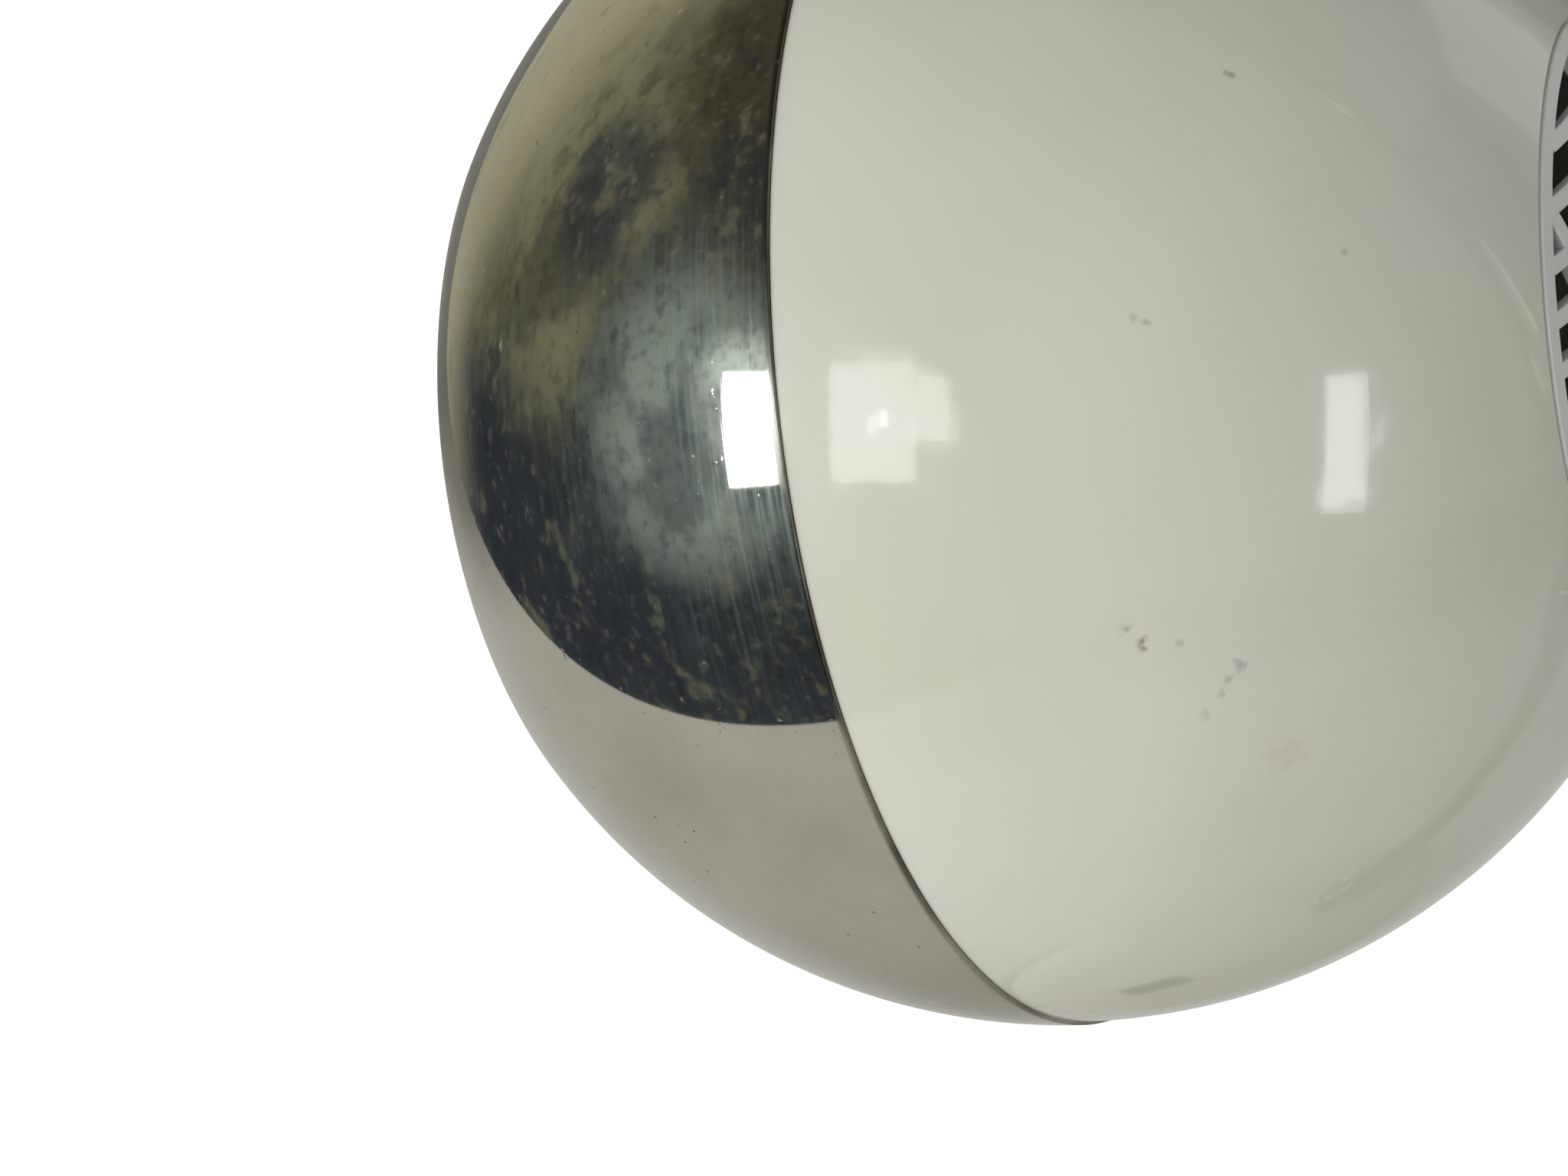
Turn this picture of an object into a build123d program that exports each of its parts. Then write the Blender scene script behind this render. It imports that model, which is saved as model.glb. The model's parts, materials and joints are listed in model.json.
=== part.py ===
from build123d import *
from math import asin, atan2, ceil, cos, pi, radians, sin, sqrt
import os

os.makedirs("parts", exist_ok=True)

# Telescopic table lamp, millimetres. +Z is up, the lamp shines toward -Y.
# The origin is the middle of the base's underside.

# Fits
RUN = 0.05                  # radial play of every piece that turns or slides
LOOSE = 0.10                # radial play of a bolt in its hole

# Base
BASE_R = 93.0               # enamelled cover, outside
COVER_T = 1.2
COVER_TOP = 30.0
SHOULDER_H = 13.0           # rolled shoulder, above the upright skirt
SHOULDER_W = 27.0           # rolled shoulder, round the flat top
FELT_T = 1.5
PLATE_T = 1.2
TRIM_W = 2.5                # trim ring, past the skirt each way
TRIM_H = 4.3
WEIGHT_T = 16.3
RIM_ROOM = 9.0              # cast weight, in from the skirt

# Stem, three telescopic tubes
STEM_INSET = 48.0           # stem, in from the skirt
OUTER_R = 8.0
TUBE_WALL = 0.8
GUIDE_T = 0.7               # room between one tube and the next
OUTER_L = 155.0
MID_L = 156.0
MID_OUT = 70.0              # how far the middle tube stands out at rest
INNER_IN = 70.0             # how far the inner tube reaches into the middle one
INNER_OUT = 94.0            # from the middle tube's mouth to the start of the crook
CROOK_R = 70.0
BUSH_H = 18.0
GUIDE_H = 8.0

# Head
BALL_R = 75.0
TILT = 18.4                 # the head looks down by this much at rest
CROOK_DOWN = 10.0           # straight end of the crook
KNUCKLE_H = 36.0            # knuckle axis below the crook's end
PIVOT_RISE = 18.0           # knuckle axis above the ball
SEAM = 2.55                 # edge of the chrome shell, past the middle
CHROME_T = 0.8
WHITE_STEP = 0.4            # the white shell lies this much below the chrome one
WHITE_T = 1.4
MOUTH = 22.2                # height of the cap cut off for the opening
LIP = 3.0                   # inward lip of the opening
VENT_R = 33.8
VENT_GAP = 0.45

# Places that follow from these sizes
PLATE_TOP = FELT_T + PLATE_T
COVER_UNDER = COVER_TOP - COVER_T
PLATEAU_R = BASE_R - SHOULDER_W
TRIM_R = BASE_R + TRIM_W
WEIGHT_R = BASE_R - RIM_ROOM
WEIGHT_TOP = PLATE_TOP + WEIGHT_T
STEM_Y = BASE_R - STEM_INSET
MID_R = OUTER_R - TUBE_WALL - GUIDE_T
INNER_R = MID_R - TUBE_WALL - GUIDE_T
SOCKET_TOP = COVER_TOP + 16.0
HUB_TOP = SOCKET_TOP + 5.0
OUTER_TOP = HUB_TOP + OUTER_L
MID_TOP = OUTER_TOP + MID_OUT
MID_BOTTOM = MID_TOP - MID_L
INNER_BOTTOM = MID_TOP - INNER_IN
CROOK_Z = MID_TOP + INNER_OUT
CROOK_END = CROOK_Z - CROOK_DOWN
PIVOT_Z = CROOK_END - KNUCKLE_H
PIVOT_H = BALL_R + PIVOT_RISE
BALL_Y = STEM_Y - 2 * CROOK_R
BALL_Z = PIVOT_Z - PIVOT_H


def save(name, shape):
    export_step(shape, f"parts/{name}.step")


def rod(radius, z0, z1, x=0.0, y=0.0):
    return Pos(x, y, z0) * Cylinder(radius, z1 - z0, align=(Align.CENTER, Align.CENTER, Align.MIN))


def tube(outer, inner, z0, z1, x=0.0, y=0.0):
    return rod(outer, z0, z1, x, y) - rod(inner, z0 - 1, z1 + 1, x, y)


def rod_x(radius, x0, x1, y, z):
    return Pos(x0, y, z) * Rot(0, 90, 0) * rod(radius, 0, x1 - x0)


def rod_y(radius, y0, y1, z):
    return Pos(0, y1, z) * Rot(90, 0, 0) * rod(radius, 0, y1 - y0)


def block(x0, x1, y0, y1, z0, z1):
    return Pos(x0, y0, z0) * Box(x1 - x0, y1 - y0, z1 - z0, align=(Align.MIN, Align.MIN, Align.MIN))


def lathe(*edges):
    """Turn a closed outline of lines and curves, given as (radius, height), about Z."""
    return revolve(Plane.XZ * make_face(edges), Axis.Z)


def turned(points):
    return lathe(Polyline(*points, close=True))


def hexagon(across, z0, z1):
    flat = extrude(RegularPolygon(across / 2, 6, major_radius=False), z1 - z0)
    return Pos(0, 0, z0) * flat


def on_ball(radius, z):
    """Point of a sphere about the origin, as (radius, height)."""
    return (sqrt(radius ** 2 - z ** 2), z)


def ball_arc(radius, z0, z1):
    """Arc of a sphere about the origin, as a profile edge from height z0 to height z1."""
    a0 = asin(z0 / radius)
    a1 = asin(z1 / radius)
    spots = [(radius * cos(a), radius * sin(a)) for a in (a0, (a0 + a1) / 2, a1)]
    return ThreePointArc(*spots)


def fluted(shape, radius, depth, count, z0, z1):
    """Cut upright grip flutes round a collar."""
    cutter = rod(depth, z0, z1, radius + depth * 0.35, 0)
    flutes = [Rot(0, 0, 360 * i / count) * cutter for i in range(count)]
    return shape - flutes


def at_stem(shape):
    return Pos(0, STEM_Y, 0) * shape


def at_ball(shape):
    return Pos(0, BALL_Y, BALL_Z) * shape


def at_pivot(shape):
    return Pos(0, BALL_Y, PIVOT_Z) * shape


def in_head(shape):
    """Head pieces are drawn about Z with the vent at the top, then laid down and tilted."""
    return at_ball(Rot(-(90 - TILT), 0, 0) * shape)


# Base cover, a spun dish with a flat top, a rolled shoulder and an upright skirt
SKIRT_TOP = COVER_TOP - SHOULDER_H
SKIRT_FOOT = PLATE_TOP + 0.8
ROLL_IN = 7.5
ROLL_DROP = 4.6


def dish(radius, top, drop):
    roll = [(PLATEAU_R, top), (radius - ROLL_IN, top - drop), (radius, SKIRT_TOP)]
    return [
        Line((0, top), (PLATEAU_R, top)),
        Spline(*roll, tangents=[(1, 0), (0, -1)]),
        Line((radius, SKIRT_TOP), (radius, SKIRT_FOOT)),
        Line((radius, SKIRT_FOOT), (0, SKIRT_FOOT)),
        Line((0, SKIRT_FOOT), (0, top)),
    ]


INLET_Z = 13.5
INLET_HOLE = 4.2
INLET_BORE = 3.0
SOCKET_TAIL = OUTER_R + 2.5
SWITCH_W = 12.8
SWITCH_L = 19.0
SWITCH_Y = 16.0 - PLATEAU_R

base_cover = lathe(*dish(BASE_R, COVER_TOP, ROLL_DROP))
base_cover -= lathe(*dish(BASE_R - COVER_T, COVER_UNDER, ROLL_DROP - 0.2))
base_cover -= rod(SOCKET_TAIL, COVER_TOP - 10, COVER_TOP + 10, 0, STEM_Y)
base_cover -= block(-SWITCH_W / 2, SWITCH_W / 2, SWITCH_Y - SWITCH_L / 2, SWITCH_Y + SWITCH_L / 2,
                    COVER_TOP - 10, COVER_TOP + 10)
base_cover -= rod_y(INLET_HOLE, BASE_R - 13, BASE_R + 7, INLET_Z)
save("base_cover", base_cover)

base_felt = rod(BASE_R - 3, 0, FELT_T)
save("base_felt", base_felt)

# Bottom plate and its three countersunk screws
SCREW_R = 2.0
SCREW_HEAD = 3.6
SCREW_TOP = 13.0
SCREW_INSET = 22.0          # in from the cast weight's rim
screw_circle = WEIGHT_R - SCREW_INSET
screw_spots = [(screw_circle * cos(radians(a)), screw_circle * sin(radians(a))) for a in (0, 120, 240)]
base_plate = rod(BASE_R + 1, FELT_T, PLATE_TOP)
for x, y in screw_spots:
    base_plate -= rod(SCREW_HEAD, FELT_T - 1, PLATE_TOP + 1, x, y)
save("base_plate", base_plate)

screws = [rod(SCREW_HEAD, FELT_T + 0.1, PLATE_TOP, x, y) + rod(SCREW_R, PLATE_TOP, SCREW_TOP, x, y)
          for x, y in screw_spots]
save("plate_screws", Compound(children=[s.solid() for s in screws]))

# Cast weight, with a boss that takes the stem's clamping nut and pockets for the fittings
BOSS_R = 20.8
BOSS_FLOOR = 13.0
NUT_ROOM = 20.0
BLOCK_W = 24.0              # terminal block
BLOCK_L = 17.0
ABOVE = COVER_TOP + 10
base_weight = rod(WEIGHT_R, PLATE_TOP, WEIGHT_TOP) + rod(BOSS_R, WEIGHT_TOP, COVER_UNDER, 0, STEM_Y)
base_weight -= rod(SOCKET_TAIL, 0, ABOVE, 0, STEM_Y)
base_weight -= rod(NUT_ROOM, 0, BOSS_FLOOR, 0, STEM_Y)
base_weight -= block(-SWITCH_W / 2 - 5.6, SWITCH_W / 2 + 5.6, SWITCH_Y - SWITCH_L / 2 - 5.5,
                     SWITCH_Y + SWITCH_L / 2 + 5.5, 0, ABOVE)
base_weight -= block(-BLOCK_W / 2 - 3, BLOCK_W / 2 + 3, -BLOCK_L / 2 - 3.5, BLOCK_L / 2 + 3.5, 0, ABOVE)
base_weight -= block(-5, 5, BLOCK_L / 2, BASE_R, 0, BOSS_FLOOR - 1)
base_weight -= block(-INLET_HOLE - 2.8, INLET_HOLE + 2.8, WEIGHT_R - 14, BASE_R, 0, ABOVE)
base_weight -= block(-4, 4, SWITCH_Y, 0, 0, BOSS_FLOOR - 4)
for x, y in screw_spots:
    base_weight -= rod(SCREW_R, 0, SCREW_TOP, x, y)
save("base_weight", base_weight)

# Chrome trim ring that carries the skirt's lower edge
trim_in = BASE_R - TRIM_W
trim_top = PLATE_TOP + TRIM_H
trim = turned([(trim_in, PLATE_TOP), (TRIM_R - 0.6, PLATE_TOP), (TRIM_R, PLATE_TOP + 0.6),
               (TRIM_R, trim_top - 1.0), (TRIM_R - 0.9, trim_top), (BASE_R, trim_top),
               (BASE_R, SKIRT_FOOT), (trim_in, SKIRT_FOOT)])
save("base_trim", trim)

# Grommet in the rear of the skirt, the flex's way in
GROMMET_L = 5.2
GROMMET_OUT = 2.0           # how far it stands out of the skirt
grommet_end = BASE_R + GROMMET_OUT
grommet = rod_y(INLET_HOLE + 1.6, grommet_end - GROMMET_L, grommet_end, INLET_Z) - base_cover
grommet -= rod_y(INLET_BORE, BASE_R - 13, BASE_R + 7, INLET_Z)
save("cord_grommet", grommet.solid())

# Terminal block on the bottom plate
BLOCK_TOP = 13.0
TERMINAL_PITCH = 7.5
TERMINAL_Y = 4.5
terminals = [(x * TERMINAL_PITCH, y) for x in (-1, 0, 1) for y in (-TERMINAL_Y, TERMINAL_Y)]
terminal_block = block(-BLOCK_W / 2, BLOCK_W / 2, -BLOCK_L / 2, BLOCK_L / 2, PLATE_TOP, BLOCK_TOP)
terminal_block -= [rod(SCREW_R, BLOCK_TOP - 5, BLOCK_TOP + 5, x, y) for x, y in terminals]
terminal_block -= rod_y(1.6, -BLOCK_L, -TERMINAL_Y - 1, BLOCK_TOP - 7)
save("terminal_block", terminal_block)
block_screws = [rod(SCREW_R, BLOCK_TOP - 5, BLOCK_TOP - 1.5, x, y) for x, y in terminals]
save("terminal_screws", Compound(children=[s.solid() for s in block_screws]))

# Switch housing with its bezel, two contact tabs and the rocker
HOUSING_FOOT = COVER_TOP - 15.5
BEZEL_T = 1.9
BEZEL_W = 1.2
CAVITY_WALL = 1.0
ROCKER_R = 1.2              # trunnion
rocker_z = COVER_TOP - 1.2
cavity_w = SWITCH_W / 2 - CAVITY_WALL
cavity_l = SWITCH_L / 2 - CAVITY_WALL
housing = block(-SWITCH_W / 2, SWITCH_W / 2, -SWITCH_L / 2, SWITCH_L / 2, HOUSING_FOOT, COVER_TOP)
housing += block(-SWITCH_W / 2 - BEZEL_W, SWITCH_W / 2 + BEZEL_W, -SWITCH_L / 2 - 1.3, SWITCH_L / 2 + 1.3,
                 COVER_TOP, COVER_TOP + BEZEL_T)
housing -= block(-cavity_w, cavity_w, -cavity_l, cavity_l, HOUSING_FOOT + 6.5, ABOVE)
housing -= rod_x(ROCKER_R + RUN, -cavity_w - 0.6, cavity_w + 0.6, 0, rocker_z)
save("switch_housing", Pos(0, SWITCH_Y, 0) * housing)
tabs = [block(-3.1, 3.1, SWITCH_Y + y - 0.4, SWITCH_Y + y + 0.4, HOUSING_FOOT - 7.5, HOUSING_FOOT)
        for y in (-5, 5)]
save("switch_tabs", Compound(children=[t.solid() for t in tabs]))

ROCKER_TILT = 8.0
rocker_l = cavity_l - 0.5
rocker_side = Polyline((-rocker_l, -2), (-rocker_l, 3.4), (0, 2.2), (rocker_l, 3.4), (rocker_l, -2),
                       (2.6, -4.6), (-2.6, -4.6), close=True)
rocker_w = cavity_w - 0.15
rocker = Pos(-rocker_w, 0, 0) * extrude(Plane.YZ * make_face(rocker_side), 2 * rocker_w)
rocker = rocker + rod_x(ROCKER_R, -cavity_w - 0.5, cavity_w + 0.5, 0, 0)
save("switch_rocker", Pos(0, SWITCH_Y, rocker_z) * Rot(-ROCKER_TILT, 0, 0) * rocker)

# Socket, clamped through the cover and the weight by its nut
SOCKET_FOOT = 7.0
socket_bore = OUTER_R + RUN
socket_r = OUTER_R + 5.2
flange_r = OUTER_R + 11.0
socket = turned([(socket_bore, SOCKET_FOOT), (SOCKET_TAIL, SOCKET_FOOT), (SOCKET_TAIL, COVER_TOP),
                 (flange_r, COVER_TOP), (flange_r, COVER_TOP + 2), (socket_r + 3.3, COVER_TOP + 4),
                 (socket_r, COVER_TOP + 6.5), (socket_r, SOCKET_TOP - 1), (socket_r - 1, SOCKET_TOP),
                 (socket_bore, SOCKET_TOP)])
save("stem_socket", at_stem(socket))
socket_nut = hexagon(2 * SOCKET_TAIL + 7, BOSS_FLOOR - 5, BOSS_FLOOR) - rod(SOCKET_TAIL, 0, BOSS_FLOOR + 1)
save("socket_nut", at_stem(socket_nut))

# Hub turning in the socket, with its retaining ring
HUB_BORE = 4.0
PLUG_L = 15.0               # inside the outer tube
plug_r = OUTER_R - TUBE_WALL
hub = turned([(HUB_BORE, SOCKET_FOOT - 2.6), (OUTER_R, SOCKET_FOOT - 2.6), (OUTER_R, SOCKET_FOOT - 1.8),
              (plug_r, SOCKET_FOOT - 1.8), (plug_r, SOCKET_FOOT - 0.6), (OUTER_R, SOCKET_FOOT - 0.6),
              (OUTER_R, SOCKET_TOP + RUN), (socket_r - 1, SOCKET_TOP + RUN), (socket_r - 1, HUB_TOP - 1),
              (socket_r - 2, HUB_TOP), (plug_r, HUB_TOP), (plug_r, HUB_TOP + PLUG_L),
              (HUB_BORE, HUB_TOP + PLUG_L)])
save("swivel_hub", at_stem(hub))
ring = tube(SOCKET_TAIL - 0.3, plug_r, SOCKET_FOOT - 1.7, SOCKET_FOOT - 0.7)
ring -= block(plug_r - 2, SOCKET_TAIL + 2, -2.2, 2.2, SOCKET_FOOT - 3, SOCKET_FOOT)
save("hub_ring", at_stem(ring))

outer_tube = tube(OUTER_R, OUTER_R - TUBE_WALL, HUB_TOP, OUTER_TOP)
save("outer_tube", at_stem(outer_tube))

# Sleeves in the tubes' mouths and the grip collars round them
FLANGE_T = 1.6
COLLAR_H = 13.0
FLUTE = 0.8


def bush(tube_r, slider_r, top):
    """Sleeve seated in a tube's mouth, with a flange on its rim."""
    bore = slider_r + RUN
    flange = top + FLANGE_T
    return turned([(bore, top - BUSH_H), (tube_r - TUBE_WALL, top - BUSH_H), (tube_r - TUBE_WALL, top),
                   (tube_r, top), (tube_r, flange), (bore, flange)])


def collar(tube_r, slider_r, top, grip, flutes):
    """Grip collar that turns on the tube's mouth and locks the tube sliding in it."""
    bore = tube_r + RUN
    grip_r = tube_r + grip
    foot = top - COLLAR_H
    lip = top + FLANGE_T + RUN
    body = turned([(bore, foot), (grip_r - 1.0, foot), (grip_r, foot + 1.0), (grip_r, lip + 0.6),
                   (grip_r - 1.6, lip + 2.0), (slider_r + 0.35, lip + 2.0), (slider_r + 0.35, lip),
                   (bore, lip)])
    return fluted(body, grip_r, FLUTE, flutes, foot + 2.5, lip - 0.6)


save("outer_bush", at_stem(bush(OUTER_R, MID_R, OUTER_TOP)))
save("lower_collar", at_stem(collar(OUTER_R, MID_R, OUTER_TOP, 3.0, 30)))

mid_tube = tube(MID_R, MID_R - TUBE_WALL, MID_BOTTOM, MID_TOP)
save("mid_tube", at_stem(mid_tube))
mid_guide = tube(OUTER_R - TUBE_WALL - RUN, MID_R, MID_BOTTOM, MID_BOTTOM + GUIDE_H)
save("mid_guide", at_stem(mid_guide))
save("mid_bush", at_stem(bush(MID_R, INNER_R, MID_TOP)))
save("upper_collar", at_stem(collar(MID_R, INNER_R, MID_TOP, 2.9, 26)))

# Innermost tube, bent over into the crook
crook = tube(INNER_R, INNER_R - TUBE_WALL, INNER_BOTTOM, CROOK_Z, 0, STEM_Y)
section = Pos(0, STEM_Y, CROOK_Z) * (Circle(INNER_R) - Circle(INNER_R - TUBE_WALL))
bend_axis = Axis((0, STEM_Y - CROOK_R, CROOK_Z), (1, 0, 0))
crook += revolve(section, bend_axis, 180)
crook += tube(INNER_R, INNER_R - TUBE_WALL, CROOK_END, CROOK_Z, 0, BALL_Y)
save("crook_tube", crook)
inner_guide = tube(MID_R - TUBE_WALL - RUN, INNER_R, INNER_BOTTOM, INNER_BOTTOM + GUIDE_H)
save("inner_guide", at_stem(inner_guide))

# Ferrule on the crook's end, in which the fork's spigot pans. Heights are from the knuckle's axis.
SPIGOT_R = 4.2
FORK_TOP = 19.2
WASHER_T = 0.8
PAN_SEAT = 10.0             # length of the ferrule's bore
PAN_NUT_W = 1.9
pan_floor = FORK_TOP + WASHER_T
pan_top = pan_floor + PAN_SEAT
nut_room = SPIGOT_R + PAN_NUT_W + 0.2
ferrule = turned([(SPIGOT_R + RUN, pan_floor), (INNER_R + 2.4, pan_floor), (INNER_R + 3.2, pan_floor + 1),
                  (INNER_R + 3.2, KNUCKLE_H + 6), (INNER_R + 1.6, KNUCKLE_H + 10), (INNER_R, KNUCKLE_H + 10),
                  (INNER_R, KNUCKLE_H), (nut_room, KNUCKLE_H), (nut_room, pan_top),
                  (SPIGOT_R + RUN, pan_top)])
save("crook_ferrule", at_pivot(ferrule))

CHEEK_IN = 3.05
CHEEK_OUT = 7.0
CHEEK_R = 6.5
CROWN = 14.0
SCREW_X = 2.45              # tilt screw's shank
SPIGOT_BORE = 2.4
spigot_top = pan_top + 3.2
fork = turned([(SPIGOT_BORE, CROWN), (8.5, CROWN), (9.2, CROWN + 0.8), (9.2, FORK_TOP - 0.8),
               (8.4, FORK_TOP), (SPIGOT_R, FORK_TOP), (SPIGOT_R, spigot_top), (SPIGOT_BORE, spigot_top)])
cheek = block(CHEEK_IN, CHEEK_OUT, -CHEEK_R, CHEEK_R, 0, CROWN + 0.4)
cheek += rod_x(CHEEK_R, CHEEK_IN, CHEEK_OUT, 0, 0)
for side in (0, 180):
    fork += Rot(0, 0, side) * cheek
fork -= rod_x(SCREW_X, -10, 10, 0, 0)
save("knuckle_fork", at_pivot(fork))
save("pan_washer", at_pivot(tube(7.6, SPIGOT_R, FORK_TOP, pan_floor - RUN)))
save("pan_nut", at_pivot(tube(SPIGOT_R + PAN_NUT_W, SPIGOT_R, pan_top + RUN, pan_top + 2.8)))

tilt_screw = rod_x(4.6, -CHEEK_OUT - 2.6, -CHEEK_OUT, 0, 0)
tilt_screw += rod_x(SCREW_X, -CHEEK_OUT, CHEEK_OUT + 7.5, 0, 0)
tilt_screw -= block(-CHEEK_OUT - 3.6, -CHEEK_OUT - 1.6, -0.5, 0.5, -6, 6)
save("tilt_screw", at_pivot(tilt_screw))
tilt_washer = Rot(0, 90, 0) * tube(6.2, SCREW_X, CHEEK_OUT, CHEEK_OUT + WASHER_T)
save("tilt_washer", at_pivot(tilt_washer))
KNOB_R = 8.6
KNOB_L = 7.75
knob_from = CHEEK_OUT + WASHER_T + RUN
knob_to = knob_from + KNOB_L
knob = turned([(SCREW_X + RUN, knob_from), (KNOB_R - 2.2, knob_from), (KNOB_R, knob_from + 1.55),
               (KNOB_R, knob_to - 1), (KNOB_R - 1, knob_to), (SCREW_X + RUN, knob_to)])
knob = fluted(knob, KNOB_R, 0.9, 20, knob_from + 1.15, knob_to - 0.6)
save("tilt_knob", at_pivot(Rot(0, 90, 0) * knob))

# Eye and stud that carry the ball, its cup washer outside and its nut inside
WHITE_R = BALL_R - WHITE_STEP
WHITE_IN = WHITE_R - WHITE_T
STRAP_T = 1.5
STRAP_IN = WHITE_IN - STRAP_T
STUD_R = 4.0
EYE_R = 7.0
EYE_W = 3.0
CUP_R = 11.0
CUP_H = 4.5                 # cup washer's top above the ball
STUD_NUT = 13.0             # across flats
cup_top = BALL_R + CUP_H
nut_corner = STUD_NUT / 2 / cos(radians(30))
stud = rod(STUD_R, STRAP_IN - 6.7, cup_top) + rod(2 * STUD_R, cup_top, cup_top + 2.5)
stud += block(-EYE_W, EYE_W, -6.2, 6.2, cup_top + 2.5, PIVOT_H) + rod_x(EYE_R, -EYE_W, EYE_W, 0, PIVOT_H)
stud -= rod_x(SCREW_X + RUN, -5, 5, 0, PIVOT_H)
save("knuckle_stud", at_ball(stud))
cup = rod(CUP_R, BALL_R - 5, cup_top - 1.2)
cup += turned([(0, cup_top - 1.2), (CUP_R, cup_top - 1.2), (CUP_R - 1.2, cup_top), (0, cup_top)])
cup = cup - Sphere(WHITE_R) - rod(STUD_R, BALL_R - 15, BALL_R + 15)
save("boss_cup", at_ball(cup.solid()))
stud_nut = hexagon(STUD_NUT, STRAP_IN - 5.1, sqrt(STRAP_IN ** 2 - nut_corner ** 2))
save("stud_nut", at_ball(stud_nut - rod(STUD_R, BALL_R - 15, BALL_R)))
stud_hole = at_ball(rod(STUD_R + LOOSE, BALL_R - 15, BALL_R + 15))

# Chrome front shell, cut flat at the opening with its lip rolled inward round a small radius
OPEN_Z = MOUTH - BALL_R
CHROME_IN = BALL_R - CHROME_T
ROLL_R = 2.0
roll_z = OPEN_Z + ROLL_R
roll_x = sqrt((BALL_R - ROLL_R) ** 2 - roll_z ** 2)
lip_z = OPEN_Z + CHROME_T
open_r = on_ball(BALL_R, OPEN_Z)[0] - LIP


def roll(radius, plane):
    """Quarter of the lip's roll, from the flat at the given height to the ball of the given radius."""
    size = roll_z - plane
    reach = radius / (BALL_R - ROLL_R)
    slant = (atan2(roll_z, roll_x) - pi / 2) / 2
    halfway = (roll_x + size * cos(slant), roll_z + size * sin(slant))
    return ThreePointArc((roll_x, plane), halfway, (roll_x * reach, roll_z * reach))


front_shell = lathe(
    Line((open_r, OPEN_Z), (roll_x, OPEN_Z)),
    roll(BALL_R, OPEN_Z),
    ball_arc(BALL_R, roll_z * BALL_R / (BALL_R - ROLL_R), SEAM),
    Line(on_ball(BALL_R, SEAM), on_ball(CHROME_IN, SEAM)),
    ball_arc(CHROME_IN, SEAM, roll_z * CHROME_IN / (BALL_R - ROLL_R)),
    roll(CHROME_IN, lip_z),
    Line((roll_x, lip_z), (open_r, lip_z)),
    Line((open_r, lip_z), (open_r, OPEN_Z)),
)
save("front_shell", in_head(front_shell))

# White rear shell; its neck fits inside the chrome shell and its vent hole has a rebate
NECK_L = 8.55
REBATE = 0.7
vent_seat = VENT_R - 0.95
rebate_r = WHITE_R - REBATE
neck_z = SEAM - NECK_L
cap_low = WHITE_R - 25
cap_high = WHITE_R + 5
rear_shell = lathe(
    Line(on_ball(WHITE_IN, neck_z), on_ball(CHROME_IN, neck_z)),
    ball_arc(CHROME_IN, neck_z, SEAM),
    Line(on_ball(CHROME_IN, SEAM), on_ball(WHITE_R, SEAM)),
    ball_arc(WHITE_R, SEAM, WHITE_R - 0.6),
    Line(on_ball(WHITE_R, WHITE_R - 0.6), on_ball(WHITE_IN, WHITE_IN - 0.6)),
    ball_arc(WHITE_IN, WHITE_IN - 0.6, neck_z),
)
rebate = rod(VENT_R + VENT_GAP, cap_low, cap_high) - Sphere(rebate_r)
rear_shell = rear_shell - rod(vent_seat + LOOSE, cap_low, cap_high) - rebate
save("rear_shell", in_head(rear_shell) - stud_hole)

# Vent grille, a domed insert with long windows between ribs, held by three snap hooks
GRILLE_T = 2.0
RIM_W = 1.5
ROW_PITCH = 4.64
ROW_OPEN = 3.0
RIB_W = 1.8
RIB_OUTER = 22.7            # from the middle rib to the outer two
window_r = VENT_R - RIM_W
dome = rod(VENT_R, cap_low, cap_high) & (Sphere(WHITE_R) - Sphere(WHITE_R - GRILLE_T))
grille = dome - (tube(VENT_R + 5, vent_seat, cap_low, cap_high) & Sphere(rebate_r))
edges = [x + side * RIB_W / 2 for x in (-RIB_OUTER, 0, RIB_OUTER) for side in (-1, 1)]
edges = [-VENT_R] + edges + [VENT_R]
row_count = ceil(window_r / ROW_PITCH)
slots = []
for row in range(-row_count, row_count):
    middle = (row + 0.5) * ROW_PITCH
    for left, right in zip(edges[0::2], edges[1::2]):
        near_x = min(abs(left), abs(right)) if left * right > 0 else 0
        near_y = abs(middle) - ROW_OPEN / 2
        if near_x ** 2 + near_y ** 2 < (window_r - 1.2) ** 2:
            slots.append(block(left, right, middle - ROW_OPEN / 2, middle + ROW_OPEN / 2, cap_low, cap_high))
grille = grille - (rod(window_r, cap_low + 1, cap_high - 1) & Compound(children=slots))
HOOK_W = 3.0
HOOK_BARB = 0.7
hook_z = on_ball(WHITE_IN, vent_seat + HOOK_BARB)[0]
for turn in (30, 150, 270):
    hook = block(-HOOK_W, HOOK_W, vent_seat - 1.8, vent_seat - 0.1, hook_z - 4.2, hook_z + 1.8)
    hook += block(-HOOK_W, HOOK_W, vent_seat - 0.2, vent_seat + HOOK_BARB, hook_z - 2.7, hook_z - 0.7)
    grille += Rot(0, 0, turn) * hook
save("vent_grille", in_head(grille.solid()))

# Strap from the stud to the lampholder, following the inside of the white shell
HOLDER_TOP = 45.5
STRAP_W = 8.0
STRAP_FOOT = 12.0
NIPPLE_R = 5.0
plate_top = HOLDER_TOP + STRAP_T
plate_reach = on_ball(STRAP_IN, plate_top)[0] + 0.8
strap = (Sphere(WHITE_IN) - Sphere(STRAP_IN)) & block(-STRAP_W, STRAP_W, -BALL_R, 0, STRAP_FOOT, plate_top)
strap += block(-STRAP_W, STRAP_W, -plate_reach, 0, HOLDER_TOP, plate_top)
strap += rod(NIPPLE_R + 8, HOLDER_TOP, plate_top)
strap -= rod(NIPPLE_R, HOLDER_TOP - 5, plate_top + 5)
save("holder_bracket", (in_head(strap) - stud_hole).solid())

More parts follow.
